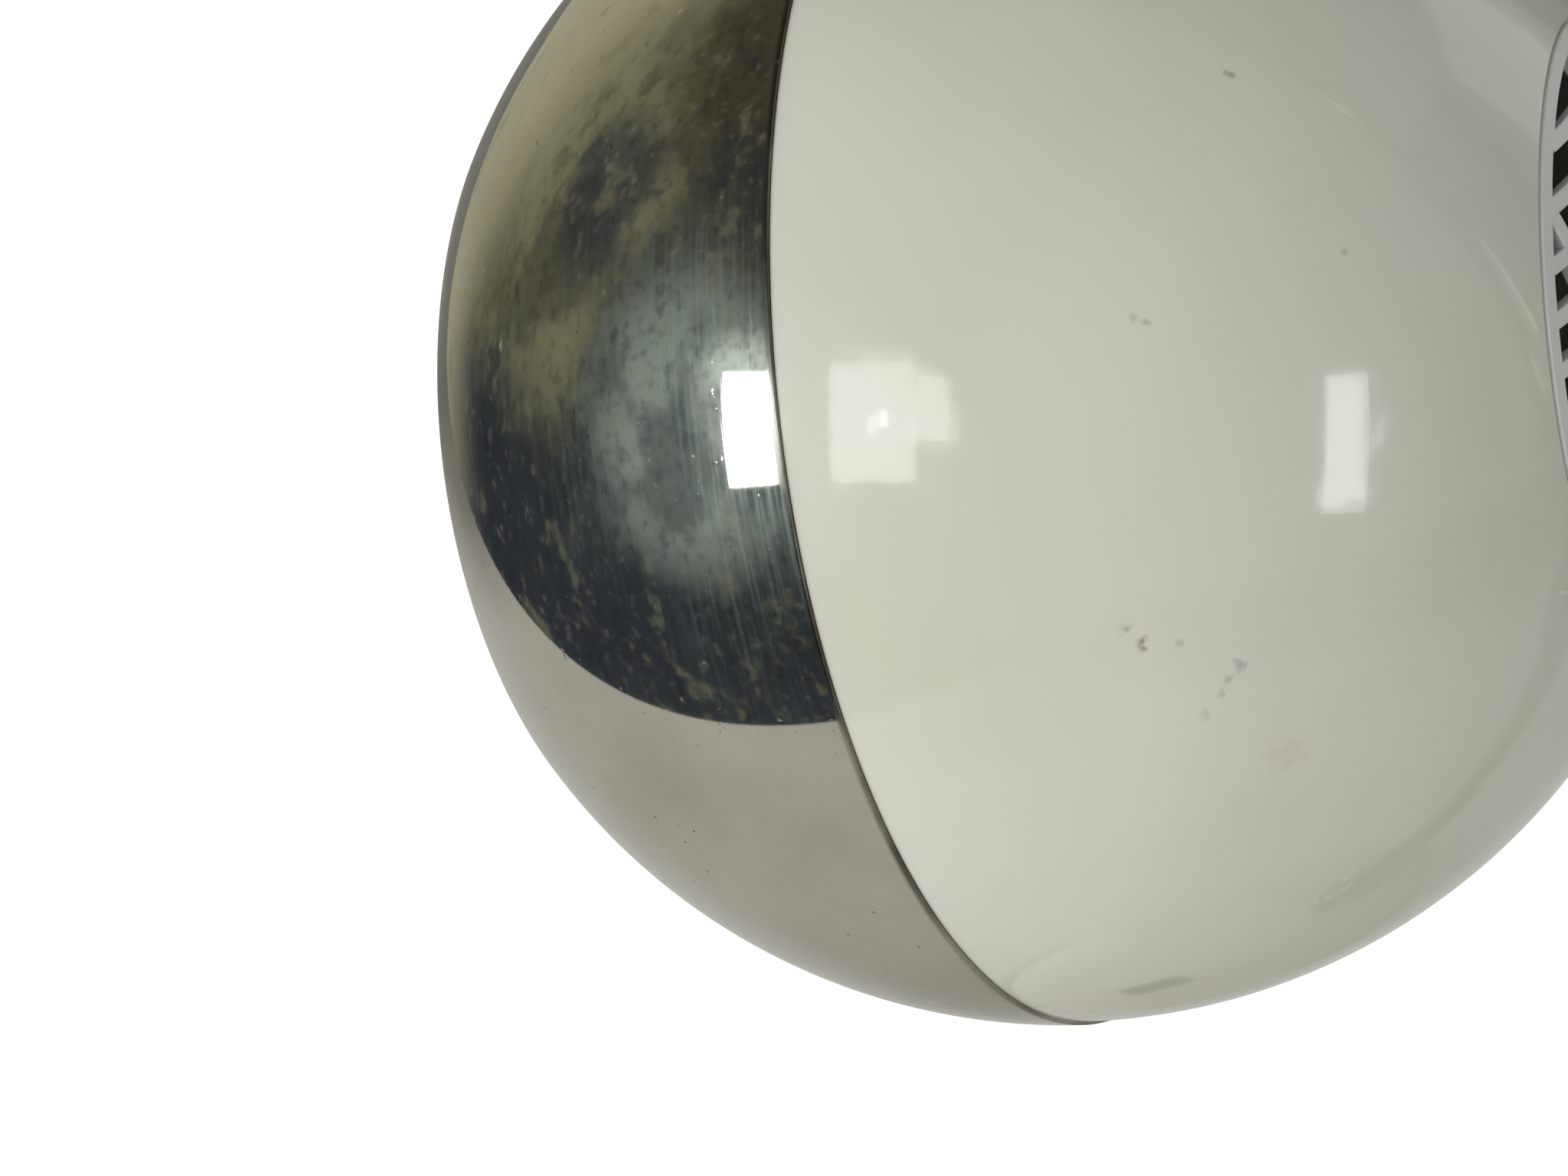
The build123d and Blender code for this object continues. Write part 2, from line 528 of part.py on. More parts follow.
save("holder_nipple", in_head(tube(NIPPLE_R, NIPPLE_R - 1.6, HOLDER_TOP - 4.5, plate_top + 6)))
holder_nut = hexagon(2 * NIPPLE_R + 4, plate_top, plate_top + 3.5) - rod(NIPPLE_R, HOLDER_TOP, plate_top + 5)
save("holder_nut", in_head(holder_nut))

# Screw lampholder and the ring that clamps the reflector to it
BOWL_T = 0.6
CAP_R = 13.2                # bulb's screw cap
SLEEVE_R = CAP_R + 0.7
HOLDER_R = 17.5
THREAD_R = 19.5
RING_R = 23.0
RING_H = 6.0
floor_z = HOLDER_TOP - 12.5
holder = turned([(0, HOLDER_TOP), (HOLDER_R - 3.5, HOLDER_TOP), (HOLDER_R, HOLDER_TOP - 3.5), (HOLDER_R, 8),
                 (RING_R + 1, 5), (RING_R + 1, BOWL_T), (THREAD_R, BOWL_T), (THREAD_R, -RING_H - 2),
                 (SLEEVE_R, -RING_H - 2), (SLEEVE_R, floor_z), (0, floor_z)])
holder -= rod(NIPPLE_R, HOLDER_TOP - 4.5, HOLDER_TOP + 5)
holder -= rod(2.6, floor_z - 3, HOLDER_TOP - 3)
save("lamp_holder", in_head(holder))
save("holder_sleeve", in_head(tube(SLEEVE_R, SLEEVE_R - 0.5, -RING_H, floor_z - 2)))
contact = rod(5.5, floor_z - 2.6, floor_z) + rod(2.6, floor_z, floor_z + 3)
save("holder_contact", in_head(contact))
save("shade_ring", in_head(tube(RING_R, THREAD_R, -RING_H, 0)))

# Spun reflector bowl, clamped at the lampholder and resting behind the chrome lip
BOWL_CORE = 26.0            # flat back of the bowl
rim_z = lip_z + BOWL_T
bowl_h = -rim_z
flange_out = roll_x - 0.1
quarter = [radians(a) for a in range(0, 91, 10)]


def bowl_curve(extra):
    width = open_r - BOWL_CORE + extra
    return [(BOWL_CORE + width * cos(a), rim_z + (bowl_h + extra) * sin(a)) for a in quarter]


bowl_in = bowl_curve(0)
bowl_out = bowl_curve(BOWL_T)
bowl = lathe(
    Spline(*bowl_in, tangents=[(0, 1), (-1, 0)]),
    Line(bowl_in[-1], (THREAD_R, bowl_in[-1][1])),
    Line((THREAD_R, bowl_in[-1][1]), (THREAD_R, bowl_out[-1][1])),
    Line((THREAD_R, bowl_out[-1][1]), bowl_out[-1]),
    Spline(*bowl_out[::-1], tangents=[(1, 0), (0, -1)]),
    Line(bowl_out[0], (flange_out, rim_z)),
    Line((flange_out, rim_z), (flange_out, lip_z)),
    Line((flange_out, lip_z), (open_r, lip_z)),
    Line((open_r, lip_z), bowl_in[0]),
)
save("reflector", in_head(bowl))

# Bulb: screw cap and opal glass
CAP_T = 0.8
GLASS_T = 0.8
cap_top = floor_z - 2.6
cap_foot = cap_top - 31.4
cap = turned([(0, cap_top), (4.6, cap_top), (6.5, cap_top - 1.8), (9.5, cap_top - 3), (12.2, cap_top - 6.4),
              (CAP_R, cap_top - 8.4), (CAP_R, cap_foot), (CAP_R - CAP_T, cap_foot),
              (CAP_R - CAP_T, cap_top - 7.4), (9, cap_top - 4), (0, cap_top - 3.4)])
save("bulb_cap", in_head(cap))
GLOBE_R = 22.5
GLOBE_DROP = 25.5           # from the cap's edge to the middle of the globe
NECK_JOINT = 13.0
neck_r = CAP_R - CAP_T
globe_z = cap_foot - GLOBE_DROP
inner_r = GLOBE_R - GLASS_T
joint_z = globe_z + sqrt(GLOBE_R ** 2 - NECK_JOINT ** 2)
inner_joint = globe_z + sqrt(inner_r ** 2 - (NECK_JOINT - GLASS_T) ** 2)
glass = lathe(
    ThreePointArc((0, globe_z - GLOBE_R), (GLOBE_R, globe_z), (NECK_JOINT, joint_z)),
    Line((NECK_JOINT, joint_z), (neck_r, cap_foot - 1)),
    Line((neck_r, cap_foot - 1), (neck_r, cap_foot + 7)),
    Line((neck_r, cap_foot + 7), (neck_r - GLASS_T, cap_foot + 7)),
    Line((neck_r - GLASS_T, cap_foot + 7), (neck_r - GLASS_T, cap_foot - 1)),
    Line((neck_r - GLASS_T, cap_foot - 1), (NECK_JOINT - GLASS_T, inner_joint)),
    ThreePointArc((NECK_JOINT - GLASS_T, inner_joint), (inner_r, globe_z), (0, globe_z - inner_r)),
    Line((0, globe_z - inner_r), (0, globe_z - GLOBE_R)),
)
save("bulb_glass", in_head(glass))
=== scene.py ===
import json
from math import asin, atan2, cos, pi, radians, sin, sqrt, tau

import bmesh
import bpy
from mathutils import Euler, Matrix, Vector


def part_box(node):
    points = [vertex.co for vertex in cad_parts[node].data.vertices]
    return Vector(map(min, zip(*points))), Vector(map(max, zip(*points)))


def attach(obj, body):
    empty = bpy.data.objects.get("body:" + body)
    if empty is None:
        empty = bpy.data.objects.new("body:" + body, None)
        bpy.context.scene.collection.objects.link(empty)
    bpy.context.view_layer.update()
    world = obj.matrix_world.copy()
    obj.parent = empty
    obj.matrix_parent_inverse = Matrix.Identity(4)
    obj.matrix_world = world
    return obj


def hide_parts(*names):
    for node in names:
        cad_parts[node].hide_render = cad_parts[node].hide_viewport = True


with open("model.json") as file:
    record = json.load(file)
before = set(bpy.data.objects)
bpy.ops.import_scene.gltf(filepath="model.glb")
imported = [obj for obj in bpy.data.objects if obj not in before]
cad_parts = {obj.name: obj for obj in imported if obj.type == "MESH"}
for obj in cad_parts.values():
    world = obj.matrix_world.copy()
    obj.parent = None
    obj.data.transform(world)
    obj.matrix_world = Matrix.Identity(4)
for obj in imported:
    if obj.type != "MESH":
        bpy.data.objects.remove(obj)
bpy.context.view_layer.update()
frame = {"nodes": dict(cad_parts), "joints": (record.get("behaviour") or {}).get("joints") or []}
cad = frame["nodes"]
joint_at = {joint["name"]: Vector(joint["pos_m"]) for joint in frame["joints"] if joint.get("pos_m")}
mm = 0.001


# Felt under the base. Dark green wool felt, 1.5 mm thick, glued to the steel bottom plate. Its fibres
# lie at random, so its nap is a fine bump with slightly lighter tufts.
class Wire:
    """A value in a material, so that sums on it read as plain Python."""

    def __init__(self, nodes, socket):
        self.nodes = nodes
        self.socket = socket

    def math(self, operation, first, second):
        return self.nodes.add("ShaderNodeMath", {"operation": operation}, {0: first, 1: second})

    def __add__(self, other):
        return self.math("ADD", self, other)

    def __sub__(self, other):
        return self.math("SUBTRACT", self, other)

    def __rsub__(self, other):
        return self.math("SUBTRACT", other, self)

    def __mul__(self, other):
        return self.math("MULTIPLY", self, other)

    __radd__ = __add__
    __rmul__ = __mul__


class Nodes:
    """The nodes of one material or of the world."""

    def __init__(self, owner):
        owner.use_nodes = True
        self.tree = owner.node_tree

    def add(self, kind, settings=None, values=None, output=0):
        node = self.tree.nodes.new(kind)
        for name, value in (settings or {}).items():
            setattr(node, name, value)
        for socket, value in (values or {}).items():
            self.join(node.inputs[socket], value)
        return Wire(self, node.outputs[output])

    def join(self, socket, value):
        if isinstance(value, Wire):
            self.tree.links.new(value.socket, socket)
        else:
            socket.default_value = value

    def mix(self, factor, first, second):
        return self.add("ShaderNodeMix", {"data_type": "RGBA"}, {0: factor, 6: first, 7: second}, 2)

    def step(self, value, low, high):
        """Smooth step from 0 to 1 while the value goes from low to high."""
        return self.add("ShaderNodeMapRange", {"interpolation_type": "SMOOTHSTEP"},
                        {"Value": value, "From Min": low, "From Max": high})


class Finish(Nodes):
    """One material. What is the same all over goes straight to the shader."""

    def __init__(self, name, constants):
        self.material = bpy.data.materials.new(name)
        super().__init__(self.material)
        self.shader = self.tree.nodes["Principled BSDF"]
        self.place = self.add("ShaderNodeTexCoord", output="Object")
        for socket, value in constants.items():
            self.shader.inputs[socket].default_value = value

    def drive(self, socket, value):
        self.join(self.shader.inputs[socket], value)

    def stretched(self, scale, place=None):
        return self.add("ShaderNodeMapping", None, {"Vector": place or self.place, "Scale": scale})

    def noise(self, scale, detail, place=None):
        return self.add("ShaderNodeTexNoise", None,
                        {"Vector": place or self.place, "Scale": scale, "Detail": detail})

    def grain(self, scale, place):
        return self.add("ShaderNodeTexVoronoi", None, {"Vector": place, "Scale": scale})

    def bump(self, height, depth):
        normal = self.add("ShaderNodeBump", None, {"Height": height, "Distance": depth, "Strength": 1.0})
        self.drive("Normal", normal)

    def follow(self, pattern, factor, first, second, roughness, spread, depth):
        """Roughness and relief follow one pattern, and a factor mixes two shades."""
        self.drive("Base Color", self.mix(factor, first, second))
        self.drive("Roughness", roughness + spread * pattern)
        self.bump(pattern, depth)


def paint(red, green, blue):
    """Linear colour of an sRGB one given from 0 to 255."""
    parts = [value / 255 for value in (red, green, blue)]
    return tuple(v / 12.92 if v < 0.04045 else ((v + 0.055) / 1.055) ** 2.4 for v in parts) + (1.0,)


def dress(finish, *names):
    for name in names:
        cad[name].data.materials.clear()
        cad[name].data.materials.append(finish.material)


felt = Finish("green_felt", {"Specular IOR Level": 0.1, "Sheen Weight": 0.4})
tufts = felt.noise(900, 4)
felt.follow(tufts, felt.step(tufts, 0.3, 0.75), paint(38, 58, 44), paint(66, 88, 70), 0.85, 0.12, 0.25 * mm)
dress(felt, "base_felt")

# Bottom plate, its screws and the small steel fittings inside. Zinc-plated mild steel, pressed or
# turned, with a dull grey bloom and faint drawing marks.
zinc = Finish("zinc_steel", {"Metallic": 1.0})
dull = zinc.noise(120, 3)
drawing = zinc.noise(60, 2, zinc.stretched((1, 40, 40)))
zinc.drive("Base Color", zinc.mix(zinc.step(dull, 0.35, 0.7), paint(150, 151, 154), paint(184, 184, 182)))
zinc.drive("Roughness", 0.3 + 0.18 * dull + 0.08 * drawing)
zinc.bump(drawing, 0.02 * mm)
dress(zinc, "base_plate", "plate_screws", "socket_nut", "hub_ring", "pan_nut", "stud_nut", "holder_bracket")

# Cast weight. Grey iron as cast, dipped in thin black paint, with the sand's pits showing through.
iron = Finish("painted_iron", {"Specular IOR Level": 0.35})
sand = iron.noise(1100, 4)
thin = iron.step(iron.noise(90, 3), 0.55, 0.72)
iron.follow(sand, thin, paint(34, 35, 37), paint(58, 56, 54), 0.55, 0.25, 0.3 * mm)
dress(iron, "base_weight")


# Base cover. One sheet-steel disc spun to a flat top, a rolled shoulder and an upright skirt, then
# stove enamelled in the same off-white as the ball's rear half. Windows take the switch and grommet.
def turn(outline, steps, place=None):
    """Spin an outline of (radius, height) points about Z, then put it in place."""
    bm = bmesh.new()
    spots = [bm.verts.new((radius, 0, height)) for radius, height in outline]
    lines = [bm.edges.new(pair) for pair in zip(spots, spots[1:])]
    bmesh.ops.spin(bm, geom=spots + lines, axis=(0, 0, 1), angle=tau, steps=steps, use_merge=True)
    bmesh.ops.remove_doubles(bm, verts=bm.verts, dist=1e-6)
    bmesh.ops.recalc_face_normals(bm, faces=bm.faces)
    if place:
        bmesh.ops.transform(bm, matrix=place, verts=bm.verts)
    return bm


def closed(*points):
    return [*points, points[0]]


def in_mm(*points):
    """Points of an outline, given in millimetres."""
    return [(radius * mm, height * mm) for radius, height in points]


BEVEL_FROM = radians(28)
CREASE_FROM = radians(32)


def show(name, bm, finish, body, node, round_edge=0.0, wall=0.0):
    """Make the mesh an object that rides on a body and stands for its CAD node."""
    mesh = bpy.data.meshes.new(name)
    bm.edges.index_update()
    cut_edges = [edge.index for edge in bm.edges if edge.is_boundary]
    bm.to_mesh(mesh)
    bm.free()
    mesh.materials.append(finish.material)
    piece = bpy.data.objects.new(name, mesh)
    bpy.context.scene.collection.objects.link(piece)
    if wall:
        skin = piece.modifiers.new("wall", "SOLIDIFY")
        skin.thickness = wall
        skin.offset = -1
    mesh.shade_smooth()
    if round_edge:
        bevel = piece.modifiers.new("edge", "BEVEL")
        bevel.width = round_edge
        bevel.segments = 3
        bevel.limit_method = "ANGLE"
        bevel.angle_limit = BEVEL_FROM
        bevel.harden_normals = True
    else:
        mesh.set_sharp_from_angle(angle=CREASE_FROM)
        for index in cut_edges:
            mesh.edges[index].use_edge_sharp = True
    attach(piece, body)
    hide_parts(node)


def cut_at(bm, picked, axis, offset):
    """Cut the picked faces along a plane square to one axis."""
    normal = Vector([float(axis == i) for i in range(3)])
    faces = [face for face in bm.faces if picked(face.calc_center_median())]
    parts = {part for face in faces for part in (*face.verts, *face.edges)}
    bmesh.ops.bisect_plane(bm, geom=[*faces, *parts], dist=1e-7, plane_co=normal * offset, plane_no=normal)


def open_window(bm, picked, sides):
    """Cut a window out of the picked faces. Sides are given as {axis: (low, high)}."""
    for axis, limits in sides.items():
        for offset in limits:
            cut_at(bm, picked, axis, offset)
    gone = [face for face in bm.faces if picked(face.calc_center_median())
            and all(low < face.calc_center_median()[axis] < high for axis, (low, high) in sides.items())]
    bmesh.ops.delete(bm, geom=gone, context="FACES")


ENAMEL_WHITE = paint(223, 223, 214)
ENAMEL_YELLOW = paint(217, 216, 202)


def away_from(finish, spot):
    """Distance from one place on the lamp."""
    return finish.add("ShaderNodeVectorMath", {"operation": "DISTANCE"}, {0: finish.place, 1: spot}, 1)


def enamel(name, seed, marks=()):
    """Gloss off-white stove enamel, a little yellowed, with faint waves in its surface.

    Each mark of use is given as its place, its size in millimetres, its strength and its colour."""
    coat = Finish(name, {"Coat Weight": 0.4, "Coat Roughness": 0.03})
    shifted = coat.add("ShaderNodeMapping", None, {"Vector": coat.place, "Location": (seed, seed, seed)})
    clouds = coat.noise(14, 3, shifted)
    specks = coat.grain(420, shifted)
    yellowed = coat.mix(coat.step(clouds, 0.35, 0.75), ENAMEL_WHITE, ENAMEL_YELLOW)
    dust = coat.step(specks, 0.035, 0.015) * coat.step(coat.noise(60, 2, shifted), 0.6, 0.7)
    colour = coat.mix(0.5 * dust, yellowed, paint(120, 110, 92))
    torn = coat.noise(900, 5, shifted)
    worn = 0.0
    for spot, size, strength, shade in marks:
        radius = size * mm
        away = away_from(coat, spot) + 2.4 * radius * torn
        mark = strength * coat.step(away, 2.0 * radius, 1.2 * radius)
        colour = coat.mix(mark, colour, shade)
        worn = mark + worn
    coat.drive("Base Color", colour)
    coat.drive("Roughness", 0.07 + 0.05 * clouds + 0.2 * dust + 0.25 * worn)
    waves = coat.noise(55, 1, shifted) + 0.25 * coat.noise(170, 1, shifted) + 0.012 * coat.noise(1600, 1)
    coat.bump(waves, 0.3 * mm)
    return coat


COVER_TOP = 30 * mm
COVER_R = 93 * mm
PLATEAU_R = 66 * mm
SKIRT_TOP = 17 * mm
SKIRT_FOOT = 3.5 * mm
COVER_T = 1.2 * mm
SWITCH_HALF = 6.4 * mm
SWITCH_LAP = 1.3 * mm
INLET_HALF = 3.6 * mm
switch_low, switch_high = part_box("switch_housing")
inlet_low, inlet_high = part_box("cord_grommet")
inlet_z = (inlet_low.z + inlet_high.z) / 2
SHOULDER_STEPS = 20
shoulder_turns = [pi / 2 * i / SHOULDER_STEPS for i in range(SHOULDER_STEPS + 1)]
shoulder = [(PLATEAU_R + (COVER_R - PLATEAU_R) * sin(a), SKIRT_TOP + (COVER_TOP - SKIRT_TOP) * cos(a))
            for a in shoulder_turns]
cover = turn([(0, COVER_TOP), *shoulder, (COVER_R, SKIRT_FOOT)], 192)
open_window(cover, lambda spot: spot.z > COVER_TOP - 0.1 * mm,
            {0: (-SWITCH_HALF, SWITCH_HALF), 1: (switch_low.y + SWITCH_LAP, switch_high.y - SWITCH_LAP)})
open_window(cover, lambda spot: spot.y > 80 * mm and abs(spot.x) < 20 * mm and spot.z < SKIRT_TOP,
            {0: (-INLET_HALF, INLET_HALF), 2: (inlet_z - INLET_HALF, inlet_z + INLET_HALF)})
cover_enamel = enamel("cover_enamel", 3.0)
show("spun_cover", cover, cover_enamel, "base", "base_cover", wall=COVER_T)


# Trim ring round the foot of the skirt, which the cover's edge stands in. Rolled brass strip, chromium
# plated and polished. The plating has hair scratches and a thin film of handling.
chrome = Finish("chromium_plate", {"Metallic": 1.0})
smears = chrome.noise(70, 3)
chrome_hairs = chrome.step(chrome.noise(25, 2, chrome.stretched((60, 60, 3))), 0.66, 0.7)
smeared = chrome.step(smears, 0.4, 0.75)
chrome.drive("Base Color", chrome.mix(smeared, paint(198, 198, 196), paint(186, 184, 176)))
chrome.drive("Roughness", 0.05 + 0.1 * chrome.step(smears, 0.45, 0.8) + 0.12 * chrome_hairs)
chrome.bump(smears + 0.2 * chrome_hairs, 0.01 * mm)
TRIM_R = 95.5 * mm
TRIM_IN = 90.5 * mm
TRIM_TOP = 7 * mm
PLATE_TOP = 2.7 * mm
trim = turn(closed((TRIM_IN, PLATE_TOP), (TRIM_R - 0.6 * mm, PLATE_TOP), (TRIM_R, PLATE_TOP + 0.6 * mm),
                   (TRIM_R, TRIM_TOP - 1.0 * mm), (TRIM_R - 0.9 * mm, TRIM_TOP), (COVER_R, TRIM_TOP),
                   (COVER_R, SKIRT_FOOT), (TRIM_IN, SKIRT_FOOT)), 192)
show("trim_ring", trim, chrome, "base", "base_trim", round_edge=0.3 * mm)

# Grommet in the rear of the skirt. Black rubber, moulded with a flange each side of the sheet.
rubber = Finish("black_rubber", {"Specular IOR Level": 0.3})
chalk = rubber.noise(300, 3)
chalky = rubber.step(chalk, 0.4, 0.8)
rubber.follow(chalk, chalky, paint(28, 28, 28), paint(52, 51, 49), 0.55, 0.25, 0.05 * mm)
GROMMET_R = 5.8 * mm
GROMMET_NECK = 4.2 * mm
GROMMET_BORE = 3 * mm
facing_back = Matrix.Translation((0, 0, inlet_z)) @ Matrix.Rotation(-pi / 2, 4, "X")
skirt_in = COVER_R - 1.25 * mm
grommet = turn(closed((GROMMET_BORE, inlet_low.y), (GROMMET_R, inlet_low.y), (GROMMET_R, skirt_in),
                      (GROMMET_NECK, skirt_in), (GROMMET_NECK, COVER_R), (GROMMET_R, COVER_R),
                      (GROMMET_R, inlet_high.y), (GROMMET_BORE, inlet_high.y)), 48, facing_back)
show("inlet_grommet", grommet, rubber, "base", "cord_grommet", round_edge=0.45 * mm)

# Terminal block, the bushes and guides of the slides, and the washers of the knuckle. Natural nylon,
# moulded, slightly see-through at thin edges and yellowed with age.
nylon = Finish("natural_nylon", {"Subsurface Weight": 0.1})
aged = nylon.noise(80, 2)
nylon.drive("Base Color", nylon.mix(aged, paint(226, 222, 206), paint(208, 198, 170)))
nylon.drive("Roughness", 0.38 + 0.15 * aged)
nylon.bump(nylon.noise(1500, 2), 0.02 * mm)
dress(nylon, "terminal_block", "mid_guide", "inner_guide", "outer_bush", "mid_bush")
dress(nylon, "pan_washer", "tilt_washer")

# Terminal screws, switch tabs, lampholder's nipple, nut, sleeve and contact. Plain brass, turned or
# pressed, with a brown tarnish in patches.
brass = Finish("plain_brass", {"Metallic": 1.0})
tarnish = brass.noise(200, 4)
browned = brass.step(tarnish, 0.4, 0.75)
brass.follow(tarnish, browned, paint(206, 178, 112), paint(142, 112, 66), 0.25, 0.25, 0.02 * mm)
dress(brass, "terminal_screws", "switch_tabs")
dress(brass, "holder_nipple", "holder_nut", "holder_sleeve", "holder_contact")


# Rocker switch. Black moulded plastic, satin from the mould's fine spark finish: a housing with a
# raised bezel, snapped into the cover, and the rocker that see-saws in it.
def slab(low, high):
    """Solid block between two corners."""
    bm = bmesh.new()
    size = Vector(high) - Vector(low)
    middle = (Vector(high) + Vector(low)) / 2
    bmesh.ops.create_cube(bm, size=1.0, matrix=Matrix.Translation(middle) @ Matrix.Diagonal((*size, 1.0)))
    return bm


def press_in(bm, picked, border, depth):
    """Leave a border round the picked face and push the rest of it in."""
    face = next(face for face in bm.faces if picked(face))
    normal = face.normal.copy()
    bmesh.ops.inset_region(bm, faces=[face], thickness=border)
    pushed = bmesh.ops.extrude_face_region(bm, geom=[face])
    bmesh.ops.delete(bm, geom=[face], context="FACES")
    moved = [part for part in pushed["geom"] if isinstance(part, bmesh.types.BMVert)]
    bmesh.ops.translate(bm, verts=moved, vec=-normal * depth)


black = Finish("black_moulding", {"Specular IOR Level": 0.4})
spark = black.noise(2200, 3)
faded = black.step(black.noise(90, 2), 0.45, 0.8)
black.follow(spark, faded, paint(24, 24, 25), paint(38, 38, 38), 0.38, 0.2, 0.03 * mm)
CAVITY_FLOOR = 21 * mm
BEZEL_BORDER = 2.2 * mm
HOUSING_WALL = 1.0 * mm


def upward(face):
    return face.normal.z > 0.9


def merge(bm, *others):
    """Add the other meshes to the first."""
    for other in others:
        carrier = bpy.data.meshes.new("carrier")
        other.to_mesh(carrier)
        other.free()
        bm.from_mesh(carrier)
        bpy.data.meshes.remove(carrier)
    return bm


bezel = slab((switch_low.x, switch_low.y, COVER_TOP), switch_high)
press_in(bezel, upward, BEZEL_BORDER, switch_high.z - COVER_TOP)
flat_under = [face for face in bezel.faces if face.calc_center_median().z < COVER_TOP + 1e-6]
bmesh.ops.delete(bezel, geom=flat_under, context="FACES")
overhang = BEZEL_BORDER - HOUSING_WALL
housing = slab((switch_low.x + overhang, switch_low.y + overhang, switch_low.z),
               (switch_high.x - overhang, switch_high.y - overhang, COVER_TOP))
press_in(housing, upward, HOUSING_WALL, COVER_TOP - CAVITY_FLOOR)
show("switch_case", merge(bezel, housing), black, "base", "switch_housing",
     round_edge=0.35 * mm)

ROCKER_TILT = radians(8)
ROCKER_HALF = 5.25 * mm
rocker_pin = joint_at["switch_rock"]
rocker = bmesh.new()
side = [(-8, -2), (-8, 3.4), (-4, 2.5), (0, 2.2), (4, 2.5), (8, 3.4), (8, -2), (2.6, -4.6), (-2.6, -4.6)]
cheek = rocker.faces.new([rocker.verts.new((-ROCKER_HALF, y * mm, z * mm)) for y, z in side])
pulled = bmesh.ops.extrude_face_region(rocker, geom=[cheek])
far_side = [part for part in pulled["geom"] if isinstance(part, bmesh.types.BMVert)]
bmesh.ops.translate(rocker, verts=far_side, vec=(2 * ROCKER_HALF, 0, 0))
bmesh.ops.recalc_face_normals(rocker, faces=rocker.faces)
rocker_place = Matrix.Translation(rocker_pin) @ Matrix.Rotation(-ROCKER_TILT, 4, "X")
bmesh.ops.transform(rocker, matrix=rocker_place, verts=rocker.verts)
show("rocker_key", rocker, black, "rocker", "switch_rocker", round_edge=0.45 * mm)

# Socket for the stem. Brass, turned with a wide flange and a waisted neck, then plated. It stands on
# the cover and its nut pulls it down against the cast weight.
stem_foot = joint_at["base_swivel"]
stem = Matrix.Translation((stem_foot.x, stem_foot.y, 0))
PLAY = 0.05 * mm
OUTER_R = 8 * mm
SOCKET_R = 13.2 * mm
SOCKET_TOP = 46 * mm
SOCKET_TAIL = 10.5 * mm
SOCKET_FOOT = 7 * mm
waist = in_mm((19, 30), (19, 31.4), (18.2, 32.3), (16.2, 33.2), (14.4, 34.6), (13.5, 36.2), (13.2, 38),
              (13.2, 45), (12.2, 46))
stem_cup = turn(closed((OUTER_R + PLAY, SOCKET_FOOT), (SOCKET_TAIL, SOCKET_FOOT), (SOCKET_TAIL, COVER_TOP),
                       *waist, (OUTER_R + PLAY, SOCKET_TOP)), 96, stem)
show("stem_cup", stem_cup, chrome, "base", "stem_socket", round_edge=0.2 * mm)

# Swivel hub. Turned brass, plated. Its spigot turns in the socket and its plug is pressed into the
# outer tube.
HUB_FOOT = 4.4 * mm
GROOVE_LOW = 5.2 * mm
GROOVE_HIGH = 6.4 * mm
HUB_R = SOCKET_R - 1 * mm
HUB_TOP = 51 * mm
HUB_CHAMFER = 1 * mm
PLUG_R = 7.2 * mm
PLUG_TOP = 66 * mm
HUB_BORE = 4 * mm
hub = turn(closed((HUB_BORE, HUB_FOOT), (OUTER_R, HUB_FOOT), (OUTER_R, GROOVE_LOW), (PLUG_R, GROOVE_LOW),
                  (PLUG_R, GROOVE_HIGH), (OUTER_R, GROOVE_HIGH), (OUTER_R, SOCKET_TOP + PLAY),
                  (HUB_R, SOCKET_TOP + PLAY), (HUB_R, HUB_TOP - HUB_CHAMFER), (HUB_R - HUB_CHAMFER, HUB_TOP),
                  (PLUG_R, HUB_TOP), (PLUG_R, PLUG_TOP), (HUB_BORE, PLUG_TOP)), 96, stem)
show("swivel_plug", hub, chrome, "stem", "swivel_hub", round_edge=0.3 * mm)


# Outer and middle tubes. Seamless brass tube with a 0.8 mm wall, plated and polished lengthwise, so
# that its fine lines run up and down. The middle one slides in the outer one.
TUBE_WALL = 0.8 * mm
drawn_chrome = Finish("drawn_chromium", {"Metallic": 1.0})
length_lines = drawn_chrome.noise(30, 2, drawn_chrome.stretched((60, 60, 0.6)))
handled = drawn_chrome.noise(40, 3)
drawn_chrome.drive("Base Color", drawn_chrome.mix(handled, paint(200, 200, 198), paint(188, 186, 180)))
drawn_chrome.drive("Roughness", 0.05 + 0.06 * length_lines + 0.08 * drawn_chrome.step(handled, 0.5, 0.8))
drawn_chrome.bump(length_lines, 0.004 * mm)


def drawn_tube(name, node, body, radius, low, high):
    bore = radius - TUBE_WALL
    tube = turn(closed((bore, low), (radius, low), (radius, high), (bore, high)), 80, stem)
    show(name, tube, drawn_chrome, body, node, round_edge=0.2 * mm)


MID_R = 6.5 * mm
INNER_R = 5 * mm
outer_low, outer_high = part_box("outer_tube")
mid_low, mid_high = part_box("mid_tube")
drawn_tube("stem_tube_outer", "outer_tube", "stem", OUTER_R, outer_low.z, outer_high.z)
drawn_tube("stem_tube_middle", "mid_tube", "middle", MID_R, mid_low.z, mid_high.z)


# Grip collars. Turned brass, plated, with upright flutes milled round them. Each turns on its tube's
# mouth and closes the bush inside on the tube that slides in it.
def flute(bm, middle, radius, depth, count, low, high):
    """Press soft upright flutes into the side of an upright collar."""
    for vert in bm.verts:
        out = Vector((vert.co.x - middle.x, vert.co.y - middle.y, 0))
        if out.length > radius - 0.1 * mm and low < vert.co.z < high:
            wave = max(0.0, cos(count * atan2(out.y, out.x)))
            vert.co -= out.normalized() * depth * wave


